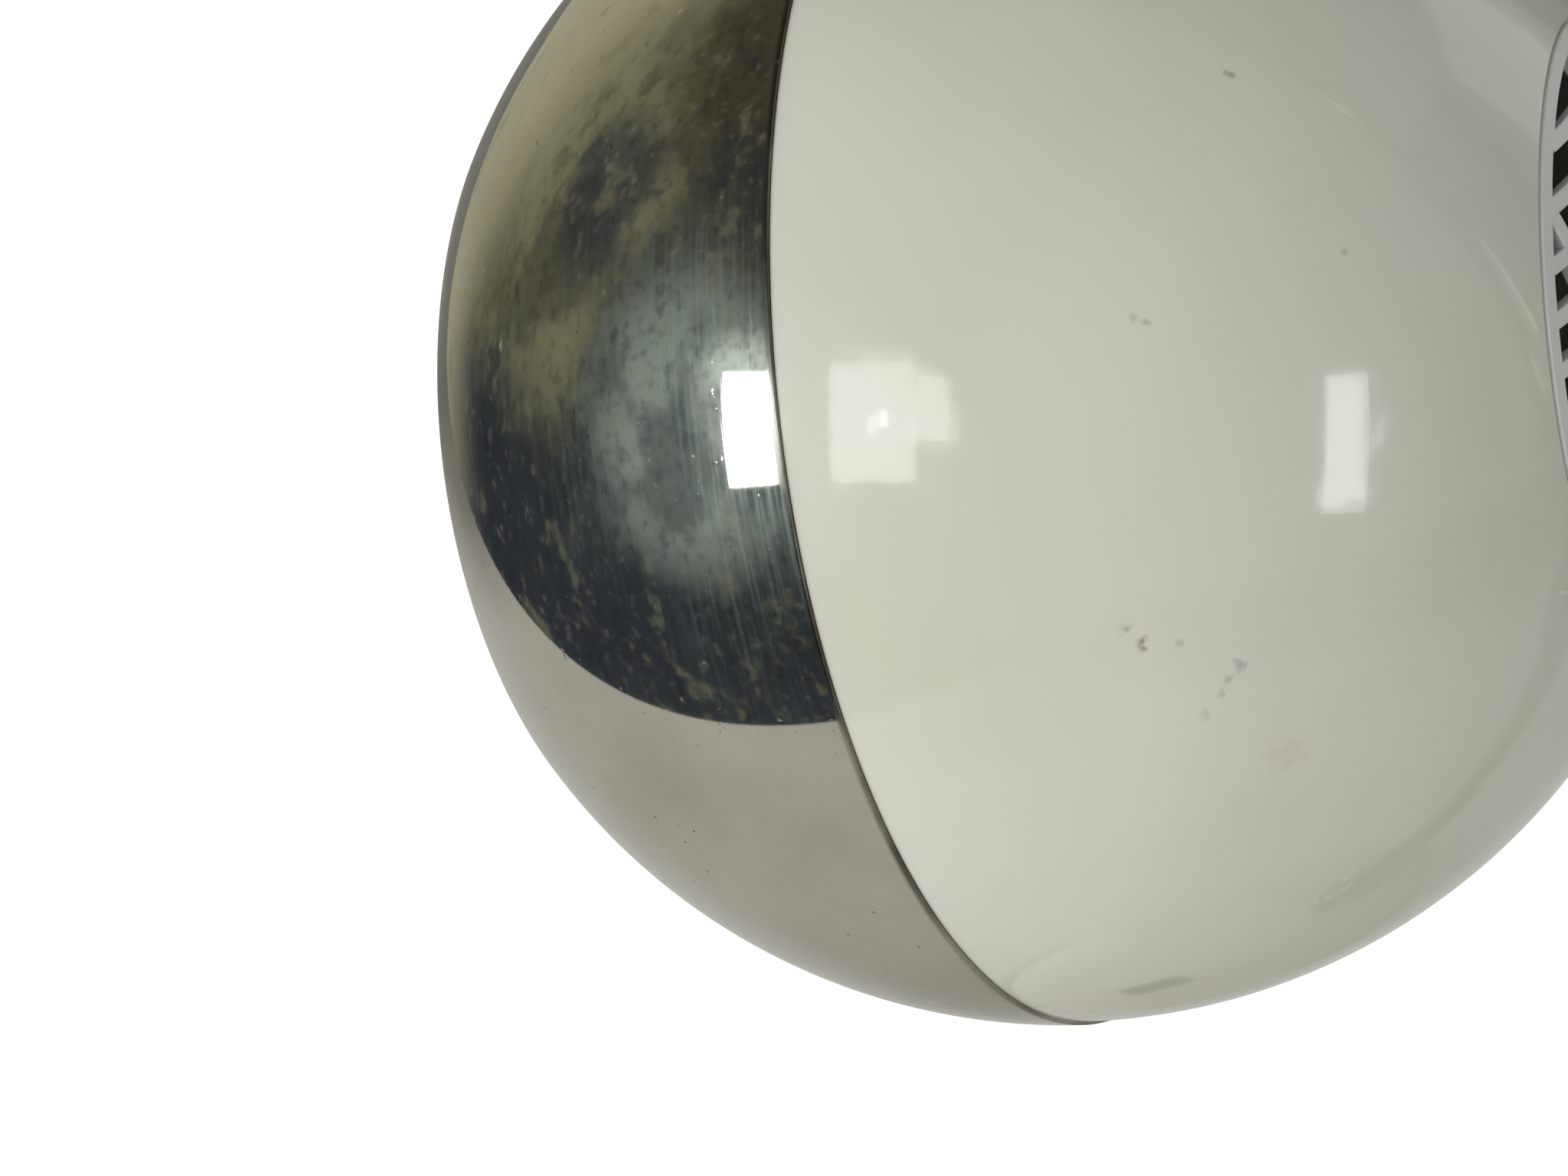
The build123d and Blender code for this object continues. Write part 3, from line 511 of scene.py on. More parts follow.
GRIP_SKIRT = 13 * mm
GRIP_RISE = 1.65 * mm
GRIP_ROOF = 2 * mm
SLIDER_GAP = 0.35 * mm


def grip_collar(name, node, body, tube_r, slider_r, tube_top, grip, count):
    grip_r = tube_r + grip
    foot = tube_top - GRIP_SKIRT
    lip = tube_top + GRIP_RISE
    bore = tube_r + PLAY
    heights = [foot + 1 * mm + (lip - foot - 0.4 * mm) * i / 12 for i in range(13)]
    body_line = closed((bore, foot), (grip_r - 0.8 * mm, foot), (grip_r, foot + 0.8 * mm),
                       *[(grip_r, z) for z in heights], (grip_r - 0.4 * mm, lip + 1.4 * mm),
                       (grip_r - 1.6 * mm, lip + GRIP_ROOF), (slider_r + SLIDER_GAP, lip + GRIP_ROOF),
                       (slider_r + SLIDER_GAP, lip), (bore, lip))
    bm = turn(body_line, count * 8, stem)
    flute(bm, stem_foot, grip_r, 0.5 * mm, count, foot + 1.6 * mm, lip + 0.4 * mm)
    show(name, bm, chrome, body, node)


grip_collar("lower_grip", "lower_collar", "lower_lock", OUTER_R, MID_R, outer_high.z, 3.0 * mm, 30)
grip_collar("upper_grip", "upper_collar", "upper_lock", MID_R, INNER_R, mid_high.z, 2.9 * mm, 26)


# Crook. The innermost tube, bent over through half a circle of 70 mm radius on a mandrel, so that the
# tube stays round, then polished.
def grow(bm, edges, offset):
    """Extrude a ring of edges along a straight line and return the new ring."""
    made = bmesh.ops.extrude_edge_only(bm, edges=edges)["geom"]
    far_ring = [part for part in made if isinstance(part, bmesh.types.BMVert)]
    bmesh.ops.translate(bm, verts=far_ring, vec=offset)
    return [part for part in made if isinstance(part, bmesh.types.BMEdge)]


CROOK_R = 70 * mm
knuckle = joint_at["head_tilt"]
crook_low, crook_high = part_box("crook_tube")
crook_z = crook_high.z - CROOK_R - INNER_R
CROOK_SEAT = 36 * mm
crook_end = knuckle.z + CROOK_SEAT
crook = bmesh.new()
crook_foot = stem @ Matrix.Translation((0, 0, crook_low.z))
bmesh.ops.create_circle(crook, segments=64, radius=INNER_R, matrix=crook_foot)
bend_start = grow(crook, crook.edges[:], (0, 0, crook_z - crook_low.z))
bend_middle = (0, stem_foot.y - CROOK_R, crook_z)
bend = bmesh.ops.spin(crook, geom=bend_start, cent=bend_middle, axis=(1, 0, 0), angle=pi, steps=96)
bend_end = [part for part in bend["geom_last"] if isinstance(part, bmesh.types.BMEdge)]
grow(crook, bend_end, (0, 0, crook_end - crook_z))
bmesh.ops.remove_doubles(crook, verts=crook.verts, dist=1e-6)
bmesh.ops.recalc_face_normals(crook, faces=crook.faces)
show("crook_pipe", crook, drawn_chrome, "crook", "crook_tube", wall=TUBE_WALL)

# Ferrule over the knuckle. Turned brass, plated, brazed to the crook's end. The fork's spigot turns in
# it, and a pocket above the spigot takes its nut.
knuckle_place = Matrix.Translation(knuckle)
SPIGOT_R = 4.2 * mm
FERRULE_FOOT = 20 * mm
FERRULE_TOP = 46 * mm
POCKET_R = 6.3 * mm
POCKET_FLOOR = 30 * mm
spigot_bore = SPIGOT_R + PLAY
bell = in_mm((7.4, 20), (8.2, 21), (8.2, 40.5), (8.0, 42), (7.4, 44), (6.6, 45.6), (6.0, 46))
ferrule = turn(closed((spigot_bore, FERRULE_FOOT), *bell, (INNER_R, FERRULE_TOP), (INNER_R, CROOK_SEAT),
                      (POCKET_R, CROOK_SEAT), (POCKET_R, POCKET_FLOOR), (spigot_bore, POCKET_FLOOR)),
               80, knuckle_place)
show("crook_sleeve", ferrule, chrome, "crook", "crook_ferrule", round_edge=0.2 * mm)


# Fork. Turned and milled from one brass bar and plated: a round crown, a spigot above it and two
# cheeks with round ends, which hold the eye of the ball's stud between them.
def tongue(x0, x1, half, straight):
    """Upright plate between two places along X, round at its lower end about the X axis."""
    bm = bmesh.new()
    start = bm.verts.new((x0, half, 0))
    bmesh.ops.spin(bm, geom=[start], axis=(1, 0, 0), cent=(0, 0, 0), angle=-pi, steps=24)
    arc = sorted(bm.verts, key=lambda vert: vert.co.y)
    top = [bm.verts.new((x0, y, straight)) for y in (half, -half)]
    outline = bm.faces.new([*arc, *top])
    pulled = bmesh.ops.extrude_face_region(bm, geom=[outline])
    moved = [part for part in pulled["geom"] if isinstance(part, bmesh.types.BMVert)]
    bmesh.ops.translate(bm, verts=moved, vec=(x1 - x0, 0, 0))
    bmesh.ops.recalc_face_normals(bm, faces=bm.faces)
    return bm


CHEEK_IN = 3.05 * mm
CHEEK_OUT = 7 * mm
CHEEK_HALF = 6.5 * mm
CHEEK_TOP = 14.4 * mm
crown = in_mm((2.4, 14), (8.5, 14), (9.2, 14.8), (9.2, 18.4), (8.4, 19.2), (4.2, 19.2), (4.2, 33.2),
              (2.4, 33.2))
fork = turn(closed(*crown), 80)
merge(fork, tongue(CHEEK_IN, CHEEK_OUT, CHEEK_HALF, CHEEK_TOP),
      tongue(-CHEEK_OUT, -CHEEK_IN, CHEEK_HALF, CHEEK_TOP))
bmesh.ops.transform(fork, matrix=knuckle_place, verts=fork.verts)
show("knuckle_yoke", fork, chrome, "fork", "knuckle_fork", round_edge=0.35 * mm)

# Tilt screw and thumb nut. Turned brass, plated. The screw's slotted head stands on one cheek and the
# fluted nut is tightened by hand on the other.
dress(chrome, "tilt_screw")
KNOB_R = 8.6 * mm
KNOB_HUB_R = 6.4 * mm
KNOB_DISH_R = 4 * mm
KNOB_BORE = 2.5 * mm
knob_low, knob_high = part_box("tilt_knob")
knob_from = knob_low.x - knuckle.x
knob_to = knob_high.x - knuckle.x
ridge = [knob_from + 1.2 * mm + (knob_to - knob_from - 2.2 * mm) * i / 8 for i in range(9)]
dish = knob_to - 0.3 * mm
knob = turn(closed((KNOB_BORE, knob_from), (KNOB_HUB_R, knob_from), (KNOB_R - 0.6 * mm, knob_from + 0.7 * mm),
                   *[(KNOB_R, z) for z in ridge], (KNOB_R - 1.2 * mm, dish), (KNOB_R - 2.6 * mm, knob_to),
                   (KNOB_DISH_R, dish), (KNOB_BORE, dish)), 160)
flute(knob, Vector((0, 0, 0)), KNOB_R, 0.7 * mm, 20, knob_from + 0.9 * mm, knob_to - 0.8 * mm)
bmesh.ops.transform(knob, matrix=knuckle_place @ Matrix.Rotation(pi / 2, 4, "Y"), verts=knob.verts)
show("thumb_wheel", knob, chrome, "thumb_nut", "tilt_knob")

# Stud with its eye, and the cup washer under it. Turned and milled brass, plated. The stud goes
# through the white shell and its flange clamps the cup washer on the skin.
BALL_R = 75 * mm
WHITE_R = 74.6 * mm
KNUCKLE_RISE = 93 * mm
ball = knuckle - Vector((0, 0, KNUCKLE_RISE))
ball_place = Matrix.Translation(ball)
shank = turn(closed(*in_mm((0, 65), (4, 65), (4, 79.5), (8, 79.5), (8, 81.4), (7.2, 82), (0, 82))), 64)
eye = tongue(-3 * mm, 3 * mm, 6.9 * mm, 11 * mm)
upside_down = Matrix.Translation(knuckle - ball) @ Matrix.Rotation(pi, 4, "X")
bmesh.ops.transform(eye, matrix=upside_down, verts=eye.verts)
merge(shank, eye)
bmesh.ops.transform(shank, matrix=ball_place, verts=shank.verts)
show("ball_stud", shank, chrome, "head", "knuckle_stud", round_edge=0.3 * mm)


def ball_line(radius, low, high, count):
    """Points of a sphere's outline as (radius, height), from one height to another."""
    start, end = asin(low / radius), asin(high / radius)
    angles = [start + (end - start) * i / count for i in range(count + 1)]
    return [(radius * cos(a), radius * sin(a)) for a in angles]


def ball_height(radius, across):
    return sqrt(radius ** 2 - across ** 2)


CUP_R = 11 * mm
STUD_R = 4 * mm
cup_top = in_mm((11, 78), (10.5, 78.9), (9.4, 79.5), (4, 79.5))
cup = turn(closed(*ball_line(WHITE_R, ball_height(WHITE_R, STUD_R), ball_height(WHITE_R, CUP_R), 6),
                  *cup_top), 96, ball_place)
show("cup_washer", cup, chrome, "head", "boss_cup", round_edge=0.15 * mm)


# Chrome front shell. Half a ball spun from 0.8 mm brass sheet, cut flat at the opening with its lip
# turned in, then plated. The lathe left fine rings round the head's axis, and use has left hairs,
# pits and a dull film that is thickest along the cut edge.
TILT = 18.4
HEAD_TURN = Euler((radians(TILT - 90), 0, 0))
head = Matrix.Translation(ball) @ HEAD_TURN.to_matrix().to_4x4()
CHROME_T = 0.8 * mm
CHROME_IN = BALL_R - CHROME_T
SEAM = 2.55 * mm
OPEN_Z = -52.8 * mm
LIP = 3 * mm
LIP_TURN = 2 * mm
lip_z = OPEN_Z + CHROME_T
open_r = ball_height(BALL_R, OPEN_Z) - LIP


def rolled_lip(radius, plane, size, count):
    """Round corner from the ball's outline, which it leaves smoothly, to the flat of the lip."""
    middle = Vector((ball_height(radius - size, plane + size), plane + size))
    start = atan2(middle.y, middle.x)
    angles = [start - (start + pi / 2) * i / count for i in range(count + 1)]
    return [(middle.x + size * cos(a), middle.y + size * sin(a)) for a in angles]


outer_lip = rolled_lip(BALL_R, OPEN_Z, LIP_TURN, 10)
inner_lip = rolled_lip(CHROME_IN, lip_z, LIP_TURN - CHROME_T, 8)
front_line = closed((open_r, OPEN_Z), *outer_lip[::-1], *ball_line(BALL_R, outer_lip[0][1], SEAM, 110)[1:],
                    *ball_line(CHROME_IN, SEAM, inner_lip[0][1], 60), *inner_lip[1:], (open_r, lip_z))
front = turn(front_line, 288, head)
spun = Finish("spun_chromium", {"Metallic": 1.0})
along = spun.add("ShaderNodeMapping", {"vector_type": "TEXTURE"},
                 {"Vector": spun.place, "Location": ball, "Rotation": HEAD_TURN})
depth = spun.add("ShaderNodeSeparateXYZ", None, {"Vector": along}, "Z")
rings = spun.noise(28, 3, spun.stretched((0.35, 0.35, 90), along))
film = spun.noise(42, 5, along)
mottle = spun.noise(430, 4, along)
streaks = spun.step(spun.noise(70, 4, spun.stretched((1, 1, 24), along)), 0.42, 0.72)
pits = spun.step(spun.grain(260, along), 0.07, 0.03) * spun.step(spun.noise(30, 2, along), 0.5, 0.6)
water = spun.step(spun.grain(75, along), 0.055, 0.035) * spun.step(spun.noise(22, 1, along), 0.56, 0.6)


def scratches(turned, scale, low, high):
    """Long fine lines that lie one way."""
    line_place = spun.add("ShaderNodeMapping", None, {"Vector": along, "Rotation": turned, "Scale": scale})
    return spun.step(spun.noise(1.0, 2, line_place), low, high)


hairs = scratches((0.4, 0.9, 0.3), (22, 1100, 1100), 0.71, 0.75)
hairs = hairs + scratches((1.3, 0.2, 1.1), (30, 900, 900), 0.72, 0.76)
grime = spun.step(depth, SEAM - 0.8 * mm, SEAM - 0.15 * mm) * (0.55 + 0.6 * spun.step(film, 0.4, 0.6))
plate_colour = spun.mix(spun.step(film, 0.4, 0.75), paint(203, 199, 188), paint(188, 183, 166))
plate_colour = spun.mix(0.8 * pits, plate_colour, paint(70, 62, 50))
plate_colour = spun.mix(0.8 * grime, plate_colour, paint(66, 54, 40))
specks = spun.step(spun.grain(105, along), 0.036, 0.022) * spun.step(spun.noise(24, 1, along), 0.47, 0.55)
plate_colour = spun.mix(0.65 * specks, plate_colour, paint(108, 90, 58))
nicks = scratches((0.9, 0.5, 1.6), (85, 620, 620), 0.735, 0.76)
plate_colour = spun.mix(0.55 * nicks, plate_colour, paint(112, 100, 76))
spun.drive("Base Color", plate_colour)
spun.drive("Roughness", 0.03 + 0.02 * rings + 0.12 * hairs + 0.35 * pits + 0.12 * grime)
spun.bump(rings * 0.2 + hairs * 0.3 + mottle * 0.1 - pits * 2.0, 0.006 * mm)
HAZE_COLOUR = paint(176, 190, 186)
RUBBED = (0.0690, -0.1108, 0.2557)
haze = spun.add("ShaderNodeBsdfPrincipled", None,
                {"Metallic": 1.0, "Roughness": 0.34, "Base Color": HAZE_COLOUR})
clouded = spun.step(film * mottle, 0.15, 0.42)
rubbed = spun.step(away_from(spun, RUBBED), 34 * mm, 12 * mm)
wiped = (0.04 + 0.38 * rubbed) * streaks * spun.step(film, 0.3, 0.6)
veil = 0.04 + 0.07 * clouded + wiped + 0.25 * hairs + 0.3 * water
polished = Wire(spun, spun.shader.outputs[0])
spun.join(spun.tree.nodes["Material Output"].inputs["Surface"],
          spun.add("ShaderNodeMixShader", None, {0: veil, 1: polished, 2: haze}))
show("chrome_half", front, spun, "head", "front_shell", round_edge=0.12 * mm)

# White rear shell. Spun from 1.4 mm steel sheet, with a rebate pressed round the vent hole and a neck
# that plugs into the chrome half, and enamelled outside and in. Handling has scuffed it.
WHITE_IN = 73.2 * mm
NECK_Z = -6 * mm
VENT_R = 33.8 * mm
VENT_GAP = 0.45 * mm
VENT_LEDGE = 0.85 * mm
REBATE_R = 73.9 * mm
vent_hole = VENT_R - VENT_LEDGE
rebate_out = VENT_R + VENT_GAP
rear_line = closed((ball_height(WHITE_IN, NECK_Z), NECK_Z), (ball_height(CHROME_IN, NECK_Z), NECK_Z),
                   (ball_height(CHROME_IN, SEAM), SEAM),
                   *ball_line(WHITE_R, SEAM, ball_height(WHITE_R, rebate_out), 110),
                   (rebate_out, ball_height(REBATE_R, rebate_out)),
                   (vent_hole, ball_height(REBATE_R, vent_hole)),
                   *ball_line(WHITE_IN, ball_height(WHITE_IN, vent_hole), NECK_Z, 50)[:-1])
rear = turn(rear_line, 288, head)
SCUFF = paint(142, 136, 122)
GREY = paint(146, 147, 150)
RUST = paint(112, 84, 66)
SMUDGE = paint(200, 192, 162)
SHELL_MARKS = [
    ((0.0677, -0.0666, 0.2444), 0.95, 0.50, SCUFF), ((0.0672, -0.0651, 0.2432), 0.80, 0.80, RUST),
    ((0.0672, -0.0647, 0.2424), 0.80, 0.70, RUST), ((0.0632, -0.0565, 0.2403), 1.10, 0.50, GREY),
    ((0.0639, -0.0572, 0.2388), 0.75, 0.40, SCUFF), ((0.0643, -0.0578, 0.2374), 1.00, 0.20, RUST),
    ((0.0650, -0.0586, 0.2351), 1.10, 0.22, SCUFF), ((0.0658, -0.0620, 0.2429), 0.70, 0.30, SCUFF),
    ((0.0385, -0.0687, 0.2892), 0.55, 0.45, SCUFF), ((0.0384, -0.0680, 0.2890), 0.60, 0.60, SCUFF),
    ((0.0383, -0.0674, 0.2887), 0.55, 0.45, SCUFF), ((0.0578, -0.0710, 0.2716), 0.75, 0.30, SCUFF),
    ((0.0574, -0.0695, 0.2713), 0.95, 0.45, SCUFF), ((0.0441, -0.0545, 0.2755), 0.60, 0.30, SCUFF),
    ((0.0278, -0.0421, 0.2757), 0.50, 0.60, paint(236, 236, 232)),
    ((0.0606, -0.0515, 0.2296), 3.40, 0.25, SMUDGE),
]
shell_enamel = enamel("shell_enamel", 0.0, SHELL_MARKS)
show("white_half", rear, shell_enamel, "head", "rear_shell", round_edge=0.1 * mm)

# Vent grille. Satin white plastic moulding that follows the ball: a plain rim, bars across it and three
# ribs behind the bars. Its snap hooks are inside the shell and don't show.
GRILLE_T = 2 * mm
WINDOW_R = 32.3 * mm
BAR_PITCH = 4.64 * mm
BAR_W = 1.64 * mm
RIB_W = 1.8 * mm
RIB_SPOTS = (-22.7 * mm, 0, 22.7 * mm)
RIB_BELOW = 0.12 * mm
BAR_ROOT = 0.4 * mm
RIB_ROOT = 0.3 * mm


def strip(half_length, offset, width, across, below):
    """Bar that follows the ball, straight when seen along the head's axis."""
    bm = bmesh.new()
    bmesh.ops.create_grid(bm, x_segments=48, y_segments=2, size=1)
    bmesh.ops.scale(bm, vec=(half_length, width / 2, 1), verts=bm.verts)
    bmesh.ops.translate(bm, vec=(0, offset, 0), verts=bm.verts)
    if across:
        bmesh.ops.rotate(bm, matrix=Matrix.Rotation(pi / 2, 3, "Z"), verts=bm.verts)
    outer = WHITE_R - below
    for vert in bm.verts:
        vert.co.z = sqrt(outer ** 2 - vert.co.x ** 2 - vert.co.y ** 2)
    pulled = bmesh.ops.extrude_face_region(bm, geom=bm.faces[:])
    under = [part for part in pulled["geom"] if isinstance(part, bmesh.types.BMVert)]
    bmesh.ops.scale(bm, vec=Vector((1, 1, 1)) * (WHITE_R - GRILLE_T) / outer, verts=under)
    bmesh.ops.recalc_face_normals(bm, faces=bm.faces)
    return bm


flange_in = VENT_R - 0.95 * mm
rim = turn(closed((WINDOW_R, ball_height(WHITE_R, WINDOW_R)), (VENT_R, ball_height(WHITE_R, VENT_R)),
                  (VENT_R, ball_height(REBATE_R, VENT_R)), (flange_in, ball_height(REBATE_R, VENT_R)),
                  (flange_in, ball_height(WHITE_R - GRILLE_T, VENT_R)),
                  (WINDOW_R, ball_height(WHITE_R - GRILLE_T, WINDOW_R))), 160)
bars = []
bar_count = int(WINDOW_R / BAR_PITCH)
for row in range(-bar_count, bar_count + 1):
    half_bar = ball_height(WINDOW_R + BAR_ROOT, row * BAR_PITCH)
    bars.append(strip(half_bar, row * BAR_PITCH, BAR_W, False, 0))
for aside in RIB_SPOTS:
    half_rib = ball_height(WINDOW_R + RIB_ROOT, aside)
    bars.append(strip(half_rib, -aside, RIB_W, True, RIB_BELOW))
grille = merge(rim, *bars)
bmesh.ops.transform(grille, matrix=head, verts=grille.verts)
satin = Finish("satin_white_plastic", {"Specular IOR Level": 0.45})
flow = satin.noise(45, 2)
satin.drive("Base Color", satin.mix(flow, paint(228, 228, 229), paint(219, 219, 217)))
satin.drive("Roughness", 0.3 + 0.12 * satin.noise(700, 2))
satin.bump(satin.noise(1400, 2), 0.012 * mm)
show("vent_bars", grille, satin, "head", "vent_grille", round_edge=0.22 * mm)

# Lampholder and the ring that clamps the reflector to it. Dark brown phenolic, moulded, with the
# flour filler's mottle in it.
phenolic = Finish("brown_phenolic", {"Specular IOR Level": 0.5})
flour = phenolic.noise(500, 4)
pale_flour = phenolic.step(flour, 0.35, 0.7)
phenolic.follow(flour, pale_flour, paint(38, 29, 24), paint(60, 46, 36), 0.22, 0.2, 0.02 * mm)
holder_line = in_mm((0, 45.5), (14, 45.5), (16, 44.6), (17.2, 43.2), (17.5, 42), (17.5, 8), (24, 5),
                    (24, 0.6), (19.5, 0.6), (19.5, -8), (13.9, -8), (13.9, 33), (0, 33))
holder = turn(closed(*holder_line), 96, head)
show("holder_shell", holder, phenolic, "head", "lamp_holder", round_edge=0.3 * mm)
CLAMP_R = 23 * mm
THREAD_R = 19.5 * mm
CLAMP_FOOT = -6 * mm
clamp_sides = [(CLAMP_R, -z * 0.4 * mm) for z in range(13, 0, -1)]
clamp_line = closed((THREAD_R, CLAMP_FOOT), (CLAMP_R, CLAMP_FOOT), (CLAMP_R, CLAMP_FOOT + 0.6 * mm),
                    *clamp_sides, (CLAMP_R, 0), (THREAD_R, 0))
clamp = turn(clamp_line, 192)
flute(clamp, Vector((0, 0, 0)), CLAMP_R, 0.5 * mm, 24, -5.3 * mm, -0.3 * mm)
bmesh.ops.transform(clamp, matrix=head, verts=clamp.verts)
show("clamp_ring", clamp, phenolic, "head", "shade_ring")

# Reflector. Spun from 0.6 mm aluminium sheet and left satin from the spinning tool, so that fine rings
# run round it. It is clamped at the lampholder and its flange rests behind the chrome lip.
BOWL_T = 0.6 * mm
BOWL_CORE = 26 * mm
BOWL_STEPS = 32
rim_z = lip_z + BOWL_T
flange_out = ball_height(CHROME_IN, lip_z) - 0.6 * mm


def bowl_line(extra):
    """Quarter ellipse from the rim to the lampholder, moved out by the sheet's thickness or not."""
    wide = open_r - BOWL_CORE + extra
    deep = -rim_z + extra
    angles = [pi / 2 * i / BOWL_STEPS for i in range(BOWL_STEPS + 1)]
    return [(BOWL_CORE + wide * cos(a), rim_z + deep * sin(a)) for a in angles]


inside = bowl_line(0)
outside = bowl_line(BOWL_T)
flange_z = lip_z + 0.02 * mm
bowl = turn(closed(*inside, (THREAD_R, inside[-1][1]), (THREAD_R, outside[-1][1]), *outside[::-1],
                   (flange_out, rim_z), (flange_out, flange_z), (open_r, flange_z)), 160, head)
aluminium = Finish("spun_aluminium", {"Metallic": 1.0})
bowl_place = aluminium.add("ShaderNodeMapping", {"vector_type": "TEXTURE"},
                           {"Vector": aluminium.place, "Location": ball, "Rotation": HEAD_TURN})
tool_rings = aluminium.noise(30, 2, aluminium.stretched((0.3, 0.3, 60), bowl_place))
dulled = aluminium.noise(60, 3)
aluminium.drive("Base Color", aluminium.mix(dulled, paint(214, 214, 213), paint(196, 195, 191)))
aluminium.drive("Roughness", 0.27 + 0.14 * tool_rings + 0.06 * dulled)
aluminium.bump(tool_rings, 0.02 * mm)
show("reflector_bowl", bowl, aluminium, "head", "reflector", round_edge=0.1 * mm)

# Bulb. A round globe of opal glass, cemented into a screw cap of aluminium sheet, which has its thread
# rolled into it.
cap_metal = Finish("rolled_cap", {"Metallic": 1.0})
rolled = cap_metal.noise(150, 3)
cap_metal.follow(rolled, rolled, paint(205, 204, 200), paint(180, 178, 172), 0.25, 0.2, 0.02 * mm)
dress(cap_metal, "bulb_cap")
GLOBE_R = 22.5 * mm
GLOBE_Z = -26.5 * mm
NECK_JOINT = 13 * mm
GLOBE_STEPS = 48
globe_turns = [(pi - asin(NECK_JOINT / GLOBE_R)) * i / GLOBE_STEPS for i in range(GLOBE_STEPS + 1)]
globe = [(GLOBE_R * sin(a), GLOBE_Z - GLOBE_R * cos(a)) for a in globe_turns]
neck = in_mm((13.0, -7.3), (12.65, -5.5), (12.45, -3.5), (12.4, -2), (12.4, 6), (0, 6))
bulb = turn([*globe, *neck], 96, head)
opal = Finish("opal_glass", {"Subsurface Weight": 0.25, "Coat Weight": 0.4, "Coat Roughness": 0.03})
streak = opal.noise(40, 2)
opal.follow(streak, streak, paint(242, 240, 234), paint(232, 229, 220), 0.12, 0.08, 0.05 * mm)
show("bulb_globe", bulb, opal, "head", "bulb_glass")


# Table. A plain pale top that ends a short way in front of the lamp. To the camera it is white, and
# round the base it keeps the lamp's shadow. In reflections shade is painted on it: a darker strip and
# corner to the left front, blotchy darkening far from the base, and a painted shadow under the ball.
TABLE_EDGE = 0.405
TABLE_HALF_DEPTH = 1.4
TABLE_HALF_WIDTH = 2.2
TABLE_TURN = atan2(-0.8, 0.6)
table_mesh = bpy.data.meshes.new("table_top")
top = bmesh.new()
bmesh.ops.create_grid(top, x_segments=1, y_segments=1, size=1)
bmesh.ops.scale(top, vec=(TABLE_HALF_DEPTH, TABLE_HALF_WIDTH, 1), verts=top.verts)
bmesh.ops.translate(top, vec=(TABLE_EDGE - TABLE_HALF_DEPTH, 0, 0), verts=top.verts)
bmesh.ops.rotate(top, matrix=Matrix.Rotation(TABLE_TURN, 3, "Z"), verts=top.verts)
top.to_mesh(table_mesh)
top.free()
table = bpy.data.objects.new("table_top", table_mesh)
bpy.context.scene.collection.objects.link(table)
table_paint = Finish("pale_table", {"Roughness": 0.7, "Specular IOR Level": 0.2, "Emission Strength": 1.0})
seen = table_paint.add("ShaderNodeLightPath", output="Is Camera Ray")
glossy = table_paint.add("ShaderNodeLightPath", output="Is Glossy Ray")
through = table_paint.add("ShaderNodeLightPath", output="Is Transmission Ray")
to_right = table_paint.add("ShaderNodeSeparateXYZ", None, {"Vector": table_paint.place}, "X")
to_back = table_paint.add("ShaderNodeSeparateXYZ", None, {"Vector": table_paint.place}, "Y")
OVER_BASE = (0, 0, 0)
UNDER_BALL = (0, -0.1, 0)
SHADED_WHITE = (2.2, 2.2, 2.2, 1.0)
TABLE_GLOW = 0.75
TABLE_MIRRORED = 0.10
# Painted shade, seen only in reflections: a darker strip and corner of the top to the left front.
painted_shade_strip = table_paint.step(to_right, -0.4, -0.26) * table_paint.step(to_right, 0.06, -0.1)
painted_shade_corner = painted_shade_strip * table_paint.step(to_back, -0.38, -0.58) * 0.75 * (1 - seen)
plain = table_paint.mix(table_paint.noise(3, 2), paint(232, 232, 228), paint(224, 224, 219))
top_with_painted_shade = table_paint.mix(painted_shade_corner, plain, paint(96, 92, 78))
from_base = away_from(table_paint, OVER_BASE)
# Painted shade, seen only in reflections: the top turns darker, in blotches, far from the base.
painted_far_shade = table_paint.step(from_base + 0.5 * table_paint.noise(3.5, 2), 0.62, 1.15)
top_colour = table_paint.mix(0.85 * glossy * painted_far_shade, top_with_painted_shade, paint(84, 82, 72))
near_base = table_paint.step(from_base, 0.45, 0.16)
table_paint.drive("Base Color", table_paint.mix(seen * near_base, top_colour, SHADED_WHITE))
# Painted shadow, seen only in reflections: the top's glow fades out right under the ball.
outside_painted_ball_shadow = table_paint.step(away_from(table_paint, UNDER_BALL), 0.0, 0.14)
glow = TABLE_GLOW * (seen * (1 - near_base) + through) + TABLE_MIRRORED * glossy * outside_painted_ball_shadow
grey_glow = table_paint.add("ShaderNodeCombineColor", None, {0: glow, 1: glow, 2: glow})
table_paint.drive("Emission Color", grey_glow)
table_mesh.materials.append(table_paint.material)


# Room. Its walls only show as reflections, as soft shapes in a room's colours, with the later ones over
# the earlier ones. To the camera it is white.
def out_to(azimuth, elevation):
    """Direction from the ball. Azimuth is from the front towards the right, in degrees."""
    level = cos(radians(elevation))
    return Vector((sin(radians(azimuth)) * level, -cos(radians(azimuth)) * level, sin(radians(elevation))))


world = bpy.data.worlds.new("room")
bpy.context.scene.world = world
room = Nodes(world)
toward = room.add("ShaderNodeTexCoord", output="Generated")
across = room.add("ShaderNodeSeparateXYZ", None, {"Vector": toward}, "X")
ahead = room.add("ShaderNodeSeparateXYZ", None, {"Vector": toward}, "Y")
rise = room.add("ShaderNodeSeparateXYZ", None, {"Vector": toward}, "Z")


def blots(scale, detail, coarseness):
    settings = {"Vector": toward, "Scale": scale, "Detail": detail, "Roughness": coarseness}
    return room.add("ShaderNodeTexNoise", None, settings)


shapes = blots(3.4, 4.0, 0.5)
clutter = blots(10.0, 6.0, 0.65)
crumbs = blots(34.0, 4.0, 0.6)
rightward = room.step(across, -0.45, -0.1)


